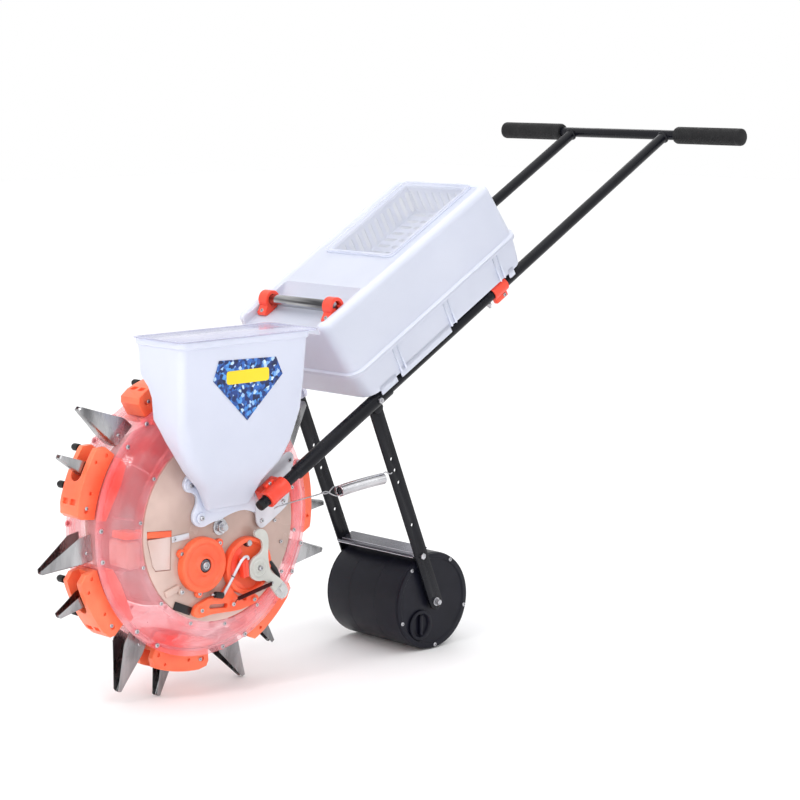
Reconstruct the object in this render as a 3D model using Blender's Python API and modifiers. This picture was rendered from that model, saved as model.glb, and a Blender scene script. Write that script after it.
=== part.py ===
"""Hand-pushed rotary duckbill planter: spiked seed wheel, seed hopper, fertiliser box, sprung press roller.

Metres, +X forward, +Y to the operator's left, +Z up, ground at z = 0. Every piece is placed from the
press roller's axle, which lies on x = 0 of the machine empty; that empty puts the origin under the
middle of the whole machine.
"""
from math import cos, pi, radians, sin

import bmesh
import bpy
from mathutils import Vector

# Driving dimensions
GAP = 0.0004                    # clearance left between touching pieces
ROLLER_X = -0.090               # roller axle, from the origin
ROLLER_R = 0.090
ROLLER_HALF = 0.095
ROLLER_WALL = 0.003
WHEEL_X = 0.492                 # seed wheel axle, forward of the roller axle
WHEEL_Z = 0.295
BEAKS = 7                       # openers and flaps, each
OPENER_TIP_R = 0.3152
OPENER_PHASE = radians(43.3)    # angle of the first opener's tip, up from +X
OPENER_LEAN = radians(4.3)      # its root stands this much further round
FLAP_TIP_R = 0.304
FLAP_PHASE = radians(27.5)
FLAP_HINGE_R = 0.237
RIM_R = 0.219
RIM_HALF = 0.038
FLANGE_R = 0.228
COVER_BORE = 0.1635
PLATE_R = 0.161
PLATE_Y = 0.078                 # middle of a side plate
PLATE_T = 0.004
AXLE_R = 0.006
TUBE_Y = 0.119                  # handle tubes, either side
TUBE_TILT = radians(29.7)
TUBE_R = 0.010
SLEEVE_R = 0.0125
TUBE_WALL = 0.0015
BAR_X, BAR_Z = -0.608, 0.923    # middle of the handlebar
BAR_R = 0.0095
BAR_HALF = 0.300
GRIP_R = 0.0165
GRIP_FROM, GRIP_TO = 0.147, 0.307
SLEEVE_FROM, SLEEVE_TO = 0.858, 1.109   # distances down the tube from the handlebar
SOCKET_DEPTH = 0.050
NOSE_TO = 1.194
CLAMP_FROM, CLAMP_TO = 1.132, 1.184
PIVOT_S, PIVOT_N = 0.889, -0.022        # roller arm pivot: along the tube, and above it
PIN_R = 0.004
ARM_Y = 0.1025
ARM_T = 0.004
ARM_W = 0.030
ROLLER_AXLE_R = 0.005
BOX_FLOOR_N = 0.0135            # fertiliser box: heights above the tubes' middle plane
BOX_FLANGE_N = 0.074
BOX_TOP_N = 0.180
BOX_WALL = 0.003
WINDOW = (0.484, 0.708, 0.080)  # window opening: from, to, half width
BAR_REST = (0.870, 0.179)       # cross bar on the box: along, above
CLAMP_DROP = 0.0175             # cross bar's middle above its clamps' feet
HOPPER_WALL = 0.003
HOPPER_TOP = 0.621
METER_X, METER_Z = 0.536, 0.237
HOUSING_X, HOUSING_Z = 0.452, 0.217
LEVER_X, LEVER_Z = 0.423, 0.217
CAP_X, CAP_Z, CAP_R = 0.031, 0.049, 0.028   # filler cap on the roller's left end

WHEEL = Vector((WHEEL_X, 0, WHEEL_Z))
BAR = Vector((BAR_X, 0, BAR_Z))
ALONG = Vector((cos(TUBE_TILT), 0, -sin(TUBE_TILT)))
ABOVE = Vector((sin(TUBE_TILT), 0, cos(TUBE_TILT)))
SIDES = (("left", 1), ("right", -1))

parts = None
guides = None
materials = {}


# ---------------------------------------------------------------- scene and helpers

def start():
    global parts, guides
    for obj in list(bpy.data.objects):
        bpy.data.objects.remove(obj, do_unlink=True)
    parts = bpy.data.collections.new("duckbill_planter")
    guides = bpy.data.collections.new("cutters")
    for group in (parts, guides):
        bpy.context.scene.collection.children.link(group)


def material(name, color, roughness, metallic=0.0):
    made = bpy.data.materials.new(name)
    made.use_nodes = True
    shader = made.node_tree.nodes["Principled BSDF"]
    shader.inputs["Base Color"].default_value = (*color, 1.0)
    shader.inputs["Roughness"].default_value = roughness
    shader.inputs["Metallic"].default_value = metallic
    materials[name] = made


def make_materials():
    material("black_steel", (0.012, 0.013, 0.018), 0.35, 0.3)
    material("black_rubber", (0.015, 0.015, 0.017), 0.7)
    material("black_plastic", (0.014, 0.015, 0.018), 0.4)
    material("orange_plastic", (1.0, 0.12, 0.035), 0.4)
    material("white_plastic", (0.80, 0.82, 0.90), 0.35)
    material("clear_plastic", (0.85, 0.75, 0.78), 0.15)
    material("tan_plastic", (0.62, 0.48, 0.40), 0.3)
    material("grey_plastic", (0.55, 0.58, 0.54), 0.45)
    material("bright_steel", (0.55, 0.55, 0.56), 0.25, 1.0)
    material("chrome", (0.7, 0.7, 0.72), 0.1, 1.0)


def move_to(obj, group):
    for old in list(obj.users_collection):
        old.objects.unlink(obj)
    group.objects.link(obj)


def new_mesh(verts, faces):
    mesh = bpy.data.meshes.new("mesh")
    bm = bmesh.new()
    points = [bm.verts.new(v) for v in verts]
    for face in faces:
        bm.faces.new([points[i] for i in face])
    bmesh.ops.recalc_face_normals(bm, faces=bm.faces)
    bm.to_mesh(mesh)
    bm.free()
    obj = bpy.data.objects.new("solid", mesh)
    parts.objects.link(obj)
    return obj


def finish(obj, name, look, parent=None):
    """Names the piece, gives it its material and hangs it on the empty of its body."""
    obj.name = name
    obj.data.name = name
    obj.data.materials.clear()
    obj.data.materials.append(materials[look])
    move_to(obj, parts)
    if obj.type == "MESH":
        obj.data.shade_smooth()
        obj.data.set_sharp_from_angle(angle=radians(32))
    for modifier in obj.modifiers:
        if modifier.type == "BOOLEAN":
            modifier.object.parent = machine
    hang(obj, parent or machine)
    return obj


def hang(obj, parent):
    obj.parent = parent
    if parent is not machine:
        obj.location = obj.location - parent.location


def axis_empty(name, place, parent=None):
    empty = bpy.data.objects.new(name, None)
    parts.objects.link(empty)
    empty.location = place
    empty.parent = parent
    return empty


def aim(obj, start_point, direction):
    """Puts the object's origin on a point and its local Z along a direction."""
    obj.location = start_point
    obj.rotation_mode = "QUATERNION"
    obj.rotation_quaternion = Vector(direction).to_track_quat("Z", "Y")


def turned(profile, start_point, direction, steps=24, closed=False):
    """A Screw solid; the profile holds (radius, height), top first down the outer side."""
    mesh = bpy.data.meshes.new("profile")
    count = len(profile)
    edges = [(i, i + 1) for i in range(count - 1)]
    if closed:
        edges.append((count - 1, 0))
    mesh.from_pydata([(r, 0, h) for r, h in profile], edges, [])
    obj = bpy.data.objects.new("turned", mesh)
    parts.objects.link(obj)
    screw = obj.modifiers.new("Screw", "SCREW")
    screw.steps = steps
    screw.render_steps = steps
    screw.use_merge_vertices = True
    screw.merge_threshold = 0.00001
    aim(obj, start_point, direction)
    return obj


def tube(r_out, r_in, start_point, direction, length, steps=20):
    ring = [(r_out, length), (r_out, 0), (r_in, 0), (r_in, length)]
    return turned(ring, start_point, direction, steps, closed=True)


def block(size, centre, tilt=0.0):
    """A box; tilt turns it about Y, so that its X side runs down a handle tube."""
    bpy.ops.mesh.primitive_cube_add(size=1, location=centre, rotation=(0, tilt, 0))
    obj = bpy.context.object
    obj.scale = size
    bpy.ops.object.transform_apply(location=False, rotation=False, scale=True)
    return obj


def rod(radius, start_point, end_point, sides=16):
    start_point, end_point = Vector(start_point), Vector(end_point)
    length = (end_point - start_point).length
    bpy.ops.mesh.primitive_cylinder_add(vertices=sides, radius=radius, depth=length)
    obj = bpy.context.object
    aim(obj, (start_point + end_point) / 2, end_point - start_point)
    return obj


def circle(x, z, radius, count=12):
    return [(x + radius * cos(2 * pi * i / count), z + radius * sin(2 * pi * i / count)) for i in range(count)]


def plate(outline, thickness, y, holes=()):
    """A flat sheet in the XZ plane: outline and holes as lists of (x, z), middle at y."""
    curve = bpy.data.curves.new("plate", "CURVE")
    curve.dimensions = "2D"
    curve.fill_mode = "BOTH"
    curve.extrude = thickness / 2
    for loop in (outline, *holes):
        spline = curve.splines.new("POLY")
        spline.points.add(len(loop) - 1)
        for point, (x, z) in zip(spline.points, loop):
            point.co = (x, z, 0, 1)
        spline.use_cyclic_u = True
    obj = bpy.data.objects.new("plate", curve)
    parts.objects.link(obj)
    obj.location = (0, y, 0)
    obj.rotation_euler = (pi / 2, 0, 0)
    return obj


def as_mesh(obj):
    """A curve, or a mesh with modifiers, made into a plain mesh object in the same place."""
    bpy.context.view_layer.update()
    evaluated = obj.evaluated_get(bpy.context.evaluated_depsgraph_get())
    mesh = bpy.data.meshes.new_from_object(evaluated)
    bm = bmesh.new()
    bm.from_mesh(mesh)
    bmesh.ops.remove_doubles(bm, verts=bm.verts, dist=0.00001)
    bm.to_mesh(mesh)
    bm.free()
    made = bpy.data.objects.new("solid", mesh)
    parts.objects.link(made)
    made.matrix_world = obj.matrix_world
    bpy.data.objects.remove(obj)
    return made


def combine(obj, other, how):
    """Adds a Boolean with another solid, which becomes a hidden guide."""
    move_to(other, guides)
    other.hide_render = True
    other.display_type = "WIRE"
    boolean = obj.modifiers.new("Boolean", "BOOLEAN")
    boolean.operation = how
    boolean.solver = "EXACT"
    boolean.object = other


def on_tube(s, n, y=0.0):
    """A point by its distance down the handle tubes and its height above their middle plane."""
    point = BAR + ALONG * s + ABOVE * n
    return Vector((point.x, y, point.z))


def polar(radius, angle):
    return radius * cos(angle), radius * sin(angle)


def ring_loft(sections, close_top=False):
    """Joins four-cornered rings, bottom face closed; sections are lists of four points, top first."""
    verts = [corner for ring in sections for corner in ring]
    faces = []
    for level in range(len(sections) - 1):
        a = 4 * level
        for i in range(4):
            j = (i + 1) % 4
            faces.append((a + i, a + j, a + 4 + j, a + 4 + i))
    last = 4 * (len(sections) - 1)
    faces.append((last, last + 1, last + 2, last + 3))
    if close_top:
        faces.append((3, 2, 1, 0))
    return new_mesh(verts, faces)


def thicken(obj, wall):
    solidify = obj.modifiers.new("Solidify", "SOLIDIFY")
    solidify.thickness = wall
    solidify.offset = -1
    solidify.use_even_offset = True


# ---------------------------------------------------------------- handle frame

def make_handle():
    bar = rod(BAR_R, (BAR_X, -BAR_HALF, BAR_Z), (BAR_X, BAR_HALF, BAR_Z), 20)
    finish(bar, "handlebar", "black_steel")
    length = GRIP_TO - GRIP_FROM
    bore = BAR_R + GAP
    end = BAR_HALF - GRIP_FROM + GAP
    chamfer = 0.004
    profile = [
        (0, length), (GRIP_R - chamfer, length), (GRIP_R, length - chamfer), (GRIP_R, chamfer),
        (GRIP_R - chamfer, 0), (bore, 0), (bore, end), (0, end),
    ]
    for side, sign in SIDES:
        grip = turned(profile, (BAR_X, sign * GRIP_FROM, BAR_Z), (0, sign, 0), 20)
        finish(grip, f"grip_{side}", "black_rubber")


def make_tubes():
    for side, sign in SIDES:
        y = sign * TUBE_Y
        first = BAR_R + 0.001
        socket_end = SLEEVE_FROM + SOCKET_DEPTH
        upper = tube(TUBE_R, TUBE_R - TUBE_WALL, on_tube(first, 0, y), ALONG, socket_end - first - 0.003)
        finish(upper, f"upper_tube_{side}", "black_steel")
        finish(make_lower_tube(sign, socket_end), f"lower_tube_{side}", "black_steel")


def make_lower_tube(sign, socket_end):
    """Sleeve over the upper tube, thinner nose, and the hanger with the roller arm's pivot pin."""
    y = sign * TUBE_Y
    bore = TUBE_R + GAP
    inner = TUBE_R - TUBE_WALL
    zero = SLEEVE_FROM
    profile = [
        (TUBE_R, NOSE_TO - zero), (TUBE_R, SLEEVE_TO + 0.002 - zero), (SLEEVE_R, SLEEVE_TO - 0.002 - zero),
        (SLEEVE_R, 0), (bore, 0), (bore, socket_end - zero), (inner, socket_end - zero), (inner, NOSE_TO - zero),
    ]
    lower = as_mesh(turned(profile, on_tube(zero, 0, y), ALONG, 20, closed=True))
    hanger_y = sign * (TUBE_Y - 0.0085)
    hanger = block((0.030, 0.004, 0.026), on_tube(PIVOT_S, -0.0218, hanger_y), TUBE_TILT)
    combine(lower, hanger, "UNION")
    pivot = on_tube(PIVOT_S, PIVOT_N)
    pin = rod(PIN_R, (pivot.x, hanger_y, pivot.z), (pivot.x, sign * (ARM_Y - 0.005), pivot.z), 12)
    combine(lower, pin, "UNION")
    return lower


def make_tube_clamps():
    """Plastic clamps that hold each tube's nose on its gusset plate."""
    length = CLAMP_TO - CLAMP_FROM
    middle = (CLAMP_FROM + CLAMP_TO) / 2
    for side, sign in SIDES:
        y = sign * TUBE_Y
        ring = as_mesh(tube(0.0158, TUBE_R + GAP, on_tube(CLAMP_FROM, 0, y), ALONG, length, 20))
        foot = block((length - 0.008, 0.0185, 0.022), on_tube(middle, 0, sign * 0.0975), TUBE_TILT)
        combine(ring, foot, "UNION")
        finish(ring, f"tube_clamp_{side}", "orange_plastic")


def make_gussets():
    outline = [
        (0.396, 0.284), (0.404, 0.281), (0.412, 0.284), (0.418, 0.296), (0.419, 0.345), (0.404, 0.366),
        (0.352, 0.405), (0.338, 0.406), (0.330, 0.396), (0.345, 0.318), (0.350, 0.311),
    ]
    bolts = ((0.405, 0.294), (0.356, 0.321), (0.343, 0.392))
    for side, sign in SIDES:
        gusset = as_mesh(plate(outline, 0.0035, sign * 0.0862))
        for x, z in bolts[:2]:
            boss = rod(0.008, (x, sign * (PLATE_Y + PLATE_T / 2 + GAP), z), (x, sign * 0.0865, z), 12)
            combine(gusset, boss, "UNION")
        finish(gusset, f"gusset_{side}", "bright_steel")


# ---------------------------------------------------------------- side plates, hopper, metering

def make_side_plates():
    edge = circle(WHEEL_X, WHEEL_Z, PLATE_R, 48)
    bore = circle(WHEEL_X, WHEEL_Z, AXLE_R + GAP, 16)
    inlet = circle(METER_X, METER_Z + 0.012, 0.012, 16)
    for side, sign in SIDES:
        holes = (bore, inlet) if sign > 0 else (bore,)
        finish(plate(edge, PLATE_T, sign * PLATE_Y, holes), f"side_plate_{side}", "tan_plastic")
    face = PLATE_Y + PLATE_T / 2 + GAP
    nut = 0.011
    end = 0.097
    profile = [
        (0, end), (AXLE_R, end), (AXLE_R, face + 0.010), (nut, face + 0.010), (nut, face), (AXLE_R, face),
        (AXLE_R, -face), (nut, -face), (nut, -face - 0.010), (AXLE_R, -face - 0.010), (AXLE_R, -end), (0, -end),
    ]
    finish(turned(profile, WHEEL, (0, 1, 0), 16), "wheel_axle", "bright_steel")


def make_hopper():
    """Open-topped seed hopper, outboard of the wheel, narrowing to its mouth on the side plate."""
    sections = [
        (HOPPER_TOP, 0.350, 0.629, 0.028, 0.156), (HOPPER_TOP - 0.010, 0.350, 0.629, 0.028, 0.156),
        (HOPPER_TOP - 0.012, 0.353, 0.626, 0.031, 0.153), (0.562, 0.358, 0.627, 0.036, 0.153),
        (0.510, 0.364, 0.627, 0.065, 0.152), (0.448, 0.376, 0.621, 0.094, 0.150),
        (0.405, 0.400, 0.600, 0.096, 0.146), (0.374, 0.433, 0.562, 0.096, 0.130),
        (0.320, 0.437, 0.545, 0.092, 0.112),
    ]
    rings = [[(x0, y0, z), (x1, y0, z), (x1, y1, z), (x0, y1, z)] for z, x0, x1, y0, y1 in sections]
    hopper = ring_loft(rings)
    thicken(hopper, HOPPER_WALL)
    finish(hopper, "seed_hopper", "white_plastic")
    lid_t = 0.002
    lid = block((0.300, 0.130, lid_t), (0.482, 0.092, HOPPER_TOP + GAP + lid_t / 2))
    finish(lid, "hopper_lid", "clear_plastic", axis_empty("hopper_lid_slide", lid.location.copy(), machine))


def make_meter():
    """Round seed metering cover with its turning rotor, on the left side plate."""
    face = PLATE_Y + PLATE_T / 2 + GAP
    centre = Vector((METER_X, face, METER_Z))
    cover = as_mesh(turned([
        (0.0115, 0.0175), (0.030, 0.0175), (0.045, 0.013), (0.047, 0.010), (0.047, 0), (0.0435, 0),
        (0.0435, 0.010), (0.029, 0.0145), (0.0115, 0.0145),
    ], centre, (0, 1, 0), 28, closed=True))
    for angle, reach in ((30, 0.049), (141, 0.050), (277, 0.049)):
        dx, dz = polar(reach, radians(angle))
        ear = rod(0.0075, centre + Vector((dx, 0, dz)), centre + Vector((dx, 0.006, dz)), 12)
        combine(cover, ear, "UNION")
    finish(cover, "meter_cover", "orange_plastic")
    axis = axis_empty("meter_rotor_spin", Vector((METER_X, 0, METER_Z)), machine)
    rotor = turned([
        (0, 0.0195), (0.0100, 0.0195), (0.0105, 0.0120), (0.038, 0.009), (0.038, 0.001), (0, 0.001),
    ], centre, (0, 1, 0), 20)
    finish(rotor, "meter_rotor", "bright_steel", axis)


def make_feed_lever():
    """Housing with its base bracket beside the metering cover, and the feed lever on its pin."""
    face = PLATE_Y + PLATE_T / 2 + GAP
    depth = 0.014
    housing = as_mesh(turned([
        (0, depth), (0.030, depth), (0.0345, depth - 0.004), (0.0345, 0), (0, 0),
    ], (HOUSING_X, face, HOUSING_Z), (0, 1, 0), 24))
    base = [(0.398, 0.168), (0.420, 0.160), (0.545, 0.142), (0.556, 0.150), (0.552, 0.162), (0.500, 0.180),
            (0.470, 0.196), (0.405, 0.186)]
    bracket = as_mesh(plate(base, 0.010, face + 0.005))
    combine(housing, bracket, "UNION")
    pin = rod(PIN_R, (LEVER_X, face + 0.004, LEVER_Z), (LEVER_X, face + 0.0265, LEVER_Z), 12)
    combine(housing, pin, "UNION")
    finish(housing, "feed_housing", "orange_plastic")
    disc = [(LEVER_X + dx, LEVER_Z + dz) for dx, dz in (polar(0.021, radians(a)) for a in range(-20, 81, 20))]
    top = [(0.421, 0.270), (0.414, 0.279), (0.403, 0.277), (0.400, 0.268), (0.412, 0.240)]
    back = [(LEVER_X + dx, LEVER_Z + dz) for dx, dz in (polar(0.021, radians(a)) for a in range(140, 201, 20))]
    foot = [(0.382, 0.196), (0.360, 0.176), (0.350, 0.158), (0.360, 0.150), (0.374, 0.160), (0.404, 0.190)]
    under = [(LEVER_X + dx, LEVER_Z + dz) for dx, dz in (polar(0.021, radians(a)) for a in (-110, -80, -50))]
    outline = disc + top + back + foot + under
    lever = plate(outline, 0.006, face + 0.0195, (circle(LEVER_X, LEVER_Z, PIN_R + GAP),))
    finish(lever, "feed_lever", "grey_plastic", axis_empty("feed_lever_turn", (LEVER_X, 0, LEVER_Z), machine))


def make_seed_chute():
    """Drop chute inside the wheel: a mouth on the side plate's inner face and a box towards the rim."""
    inner = PLATE_Y - PLATE_T / 2 - GAP
    chute = block((0.100, 0.034, 0.050), (0.626, 0.030, 0.262))
    neck = block((0.040, 0.034, 0.040), (0.600, inner - 0.017, 0.262))
    combine(chute, neck, "UNION")
    combine(chute, block((0.120, 0.026, 0.042), (0.630, 0.030, 0.262)), "DIFFERENCE")
    finish(chute, "seed_chute", "clear_plastic")


# ---------------------------------------------------------------- seed wheel

def make_drum(drum):
    hub = AXLE_R + 0.0005
    profile = [
        (RIM_R, RIM_HALF), (RIM_R, -RIM_HALF), (RIM_R - 0.004, -RIM_HALF), (RIM_R - 0.004, -0.0015),
        (0.018, -0.0015), (0.018, -0.022), (hub, -0.022), (hub, 0.003), (0.018, 0.003),
        (0.020, 0.0015), (RIM_R - 0.004, 0.0015), (RIM_R - 0.004, RIM_HALF),
    ]
    finish(turned(profile, WHEEL, (0, 1, 0), 56, closed=True), "drum_rim", "clear_plastic", drum)
    outer = [
        (COVER_BORE, 0.0800), (0.176, 0.0800), (0.179, 0.072), (0.196, 0.066), (0.206, 0.052),
        (0.214, 0.046), (FLANGE_R, 0.0415), (FLANGE_R, RIM_HALF + GAP), (0.210, RIM_HALF + GAP),
        (0.203, 0.047), (0.193, 0.062), (0.176, 0.069), (0.173, 0.0770), (COVER_BORE, 0.0770),
    ]
    for side, sign in SIDES:
        cover = turned(outer, WHEEL, (0, sign, 0), 56, closed=True)
        finish(cover, f"drum_cover_{side}", "clear_plastic", drum)


def wedge(length, base, tip, lean):
    """Beak along local X: base and tip are (width in Y, width in Z), the tip set off in Z by lean."""
    (by, bz), (ty, tz) = base, tip
    corners = ((-1, -1), (1, -1), (1, 1), (-1, 1))
    root = [(0, a * by / 2, b * bz / 2) for a, b in corners]
    shoulder = [(length * 0.2, a * by / 2, b * bz / 2 + lean * 0.1) for a, b in corners]
    point = [(length, a * ty / 2, b * tz / 2 + lean) for a, b in corners]
    return ring_loft([root, shoulder, point], close_top=True)


def block_mesh():
    """Plastic beak holder in the wheel's frame, its beak pointing along +X."""
    low, high = radians(-20.5), radians(12)
    steps = 6
    angles = [low + (high - low) * i / steps for i in range(steps + 1)]
    top_r = 0.258
    outline = [polar(RIM_R + 0.0006, a) for a in angles]
    ends = [polar(0.244, high), polar(top_r, high - radians(3))]
    top = [polar(top_r, a) for a in reversed(angles[1:-1])]
    outline += ends + top + [polar(0.246, low)]
    holder = as_mesh(plate(outline, 0.050, 0))
    notch = block((0.060, 0.026, 0.100), (0.2275 + 0.030, 0, 0.030))
    combine(holder, notch, "DIFFERENCE")
    holder = as_mesh(holder)
    holder.data.transform(holder.matrix_world)
    return holder


def make_beaks(drum):
    holder = block_mesh()
    flap = wedge(FLAP_TIP_R - FLAP_HINGE_R, (0.020, 0.024), (0.009, 0.004), 0.0)
    opener_root = RIM_R + 0.0006
    tip_x, tip_z = polar(OPENER_TIP_R, -OPENER_LEAN)
    opener = wedge(tip_x - opener_root, (0.034, 0.046), (0.010, 0.004), tip_z)
    step = 2 * pi / BEAKS
    for i in range(BEAKS):
        angle = FLAP_PHASE - step * i
        piece = bpy.data.objects.new("holder", holder.data)
        piece.rotation_euler = (0, -angle, 0)
        piece.location = WHEEL
        place(piece, f"beak_holder_{i + 1}", "orange_plastic", drum)
        hinge_x, hinge_z = polar(FLAP_HINGE_R, angle)
        hinge = axis_empty(f"flap_{i + 1}_hinge", (hinge_x, 0, hinge_z), drum)
        hinge.rotation_euler = (0, -angle, 0)
        piece = bpy.data.objects.new("flap", flap.data)
        place(piece, f"beak_flap_{i + 1}", "bright_steel", None)
        piece.parent = hinge
        angle = OPENER_PHASE + OPENER_LEAN - step * i
        piece = bpy.data.objects.new("opener", opener.data)
        root_x, root_z = polar(opener_root, angle)
        piece.location = WHEEL + Vector((root_x, 0, root_z))
        piece.rotation_euler = (0, -angle, 0)
        place(piece, f"opener_{i + 1}", "bright_steel", drum)
    for pattern in (holder, flap, opener):
        bpy.data.objects.remove(pattern)


def place(piece, name, look, parent):
    """Links a copy that shares its mesh with the others of its kind."""
    parts.objects.link(piece)
    piece.name = name
    if not piece.data.materials:
        piece.data.materials.append(materials[look])
    if parent:
        hang(piece, parent)


# ---------------------------------------------------------------- fertiliser box

def box_ring(n, back, front, half):
    """Four corners of a level of the box: along the tubes from back to front, half width in Y."""
    return [on_tube(front, n, half), on_tube(back, n, half), on_tube(back, n, -half), on_tube(front, n, -half)]


def make_fertiliser_box():
    flange = BOX_FLANGE_N
    tray = ring_loft([
        box_ring(flange, 0.460, 0.930, 0.1425), box_ring(flange - 0.008, 0.460, 0.930, 0.1425),
        box_ring(BOX_FLOOR_N, 0.470, 0.910, 0.134),
    ])
    thicken(tray, BOX_WALL)
    finish(tray, "box_tray", "white_plastic")
    finish(make_box_cover(), "box_cover", "white_plastic")
    back, front, half = WINDOW
    reach = 0.006
    lid_t = 0.003
    lid = block(
        (front - back + 2 * reach, 2 * (half + reach), lid_t),
        on_tube((front + back) / 2, BOX_TOP_N + GAP + lid_t / 2), TUBE_TILT)
    hinge = axis_empty("window_lid_hinge", on_tube(back - reach, BOX_TOP_N + GAP), machine)
    finish(lid, "window_lid", "clear_plastic", hinge)


def make_box_cover():
    """Cover of the box: a hollow lid with a bay for the cross bar and a window opening in its top."""
    foot = BOX_FLANGE_N + GAP
    w = BOX_WALL
    outer = ring_loft([
        box_ring(BOX_TOP_N, 0.466, 0.930, 0.118), box_ring(foot + 0.010, 0.461, 0.926, 0.138),
        box_ring(foot, 0.460, 0.930, 0.1425),
    ], close_top=True)
    inner = ring_loft([
        box_ring(BOX_TOP_N - w, 0.466 + w, 0.930 - w, 0.118 - w),
        box_ring(foot + 0.010, 0.461 + w, 0.926 - w, 0.138 - w),
        box_ring(foot - 0.010, 0.461 + w, 0.926 - w, 0.138 - w),
    ], close_top=True)
    bay_s, bay_n = BAR_REST
    bay_half = 0.098
    bay_from = bay_s - 0.022
    bay_deep = bay_n - CLAMP_DROP - GAP
    long, high = 0.110, 0.060
    bay = block((long, 2 * bay_half, high), on_tube(bay_from + long / 2, bay_deep + high / 2), TUBE_TILT)
    bay_wall = block(
        (long + w, 2 * (bay_half + w), high), on_tube(bay_from - w + long / 2, bay_deep - w + high / 2), TUBE_TILT)
    combine(inner, bay_wall, "DIFFERENCE")
    inner = as_mesh(inner)
    combine(outer, bay, "DIFFERENCE")
    combine(outer, inner, "DIFFERENCE")
    back, front, half = WINDOW
    window = block((front - back, 2 * half, 0.040), on_tube((front + back) / 2, BOX_TOP_N), TUBE_TILT)
    combine(outer, window, "DIFFERENCE")
    return outer


def make_cross_bar():
    s, n = BAR_REST
    middle = on_tube(s, n)
    end = Vector((0, 0.090, 0))
    finish(rod(TUBE_R, middle - end, middle + end, 20), "cross_bar", "chrome")
    width = 0.022
    foot_high = 0.010
    for side, sign in SIDES:
        y = sign * 0.084
        start_point = Vector((middle.x, y - width / 2, middle.z))
        ring = as_mesh(tube(0.0165, TUBE_R + GAP, start_point, (0, 1, 0), width, 20))
        foot_middle = on_tube(s + 0.016, n - CLAMP_DROP + foot_high / 2, y)
        foot = block((0.018, width - 0.004, foot_high), foot_middle, TUBE_TILT)
        combine(ring, foot, "UNION")
        finish(ring, f"bar_clamp_{side}", "orange_plastic")


def make_fertiliser_pipe():
    """Spout from the front of the box down to the right side plate."""
    points = [
        Vector((0.168, -0.070, 0.477)), Vector((0.235, -0.072, 0.455)), Vector((0.310, -0.084, 0.430)),
        Vector((0.370, -0.0935, 0.412)), Vector((0.405, -0.0935, 0.395)),
    ]
    curve = bpy.data.curves.new("pipe", "CURVE")
    curve.dimensions = "3D"
    curve.bevel_depth = 0.0108
    curve.bevel_resolution = 4
    curve.use_fill_caps = True
    spline = curve.splines.new("POLY")
    spline.points.add(len(points) - 1)
    for point, place_at in zip(spline.points, points):
        point.co = (*place_at, 1)
    obj = bpy.data.objects.new("pipe", curve)
    parts.objects.link(obj)
    finish(obj, "fertiliser_pipe", "white_plastic")


# ---------------------------------------------------------------- press roller

def capsule(a, b, radius, count=8):
    """Outline of a flat bar with round ends between two points of the XZ plane."""
    heading = (Vector(b) - Vector(a)).normalized()
    side = Vector((-heading.y, heading.x))
    points = []
    for centre, first in ((Vector(b), -1), (Vector(a), 1)):
        for i in range(count + 1):
            turn = pi * i / count
            points.append(centre + (side * first * cos(turn) - heading * first * sin(turn)) * radius)
    return [(p.x, p.y) for p in points]


def make_roller_arms(arms):
    pivot = on_tube(PIVOT_S, PIVOT_N)
    top, bottom = Vector((pivot.x, pivot.z)), Vector((0, ROLLER_R))
    length = (bottom - top).length
    heading = (bottom - top) / length
    holes = [circle(top.x, top.y, PIN_R + GAP), circle(0, ROLLER_R, ROLLER_AXLE_R + GAP)]
    for reach in (0.103, 0.126, 0.151, 0.240, 0.306):
        spot = top + heading * reach
        holes.append(circle(spot.x, spot.y, 0.0032, 8))
    for side, sign in SIDES:
        arm = plate(capsule(top, bottom, ARM_W / 2), ARM_T, sign * ARM_Y, holes)
        finish(arm, f"roller_arm_{side}", "black_steel", arms)
    tilt = radians(22)
    reach = 0.104
    inside = 2 * (ARM_Y - ARM_T / 2 - GAP)
    centre = (reach * sin(tilt), 0, ROLLER_R + reach * cos(tilt))
    finish(block((0.040, inside, 0.003), centre, tilt), "scraper", "black_steel", arms)
    far = ARM_Y + ARM_T / 2 + GAP
    end = 0.115
    nut = 0.009
    profile = [
        (0, end), (ROLLER_AXLE_R, end), (ROLLER_AXLE_R, far + 0.006), (nut, far + 0.006), (nut, far),
        (ROLLER_AXLE_R, far), (ROLLER_AXLE_R, -far), (nut, -far), (nut, -far - 0.006),
        (ROLLER_AXLE_R, -far - 0.006), (ROLLER_AXLE_R, -end), (0, -end),
    ]
    finish(turned(profile, (0, 0, ROLLER_R), (0, 1, 0), 16), "roller_axle", "bright_steel", arms)


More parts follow.
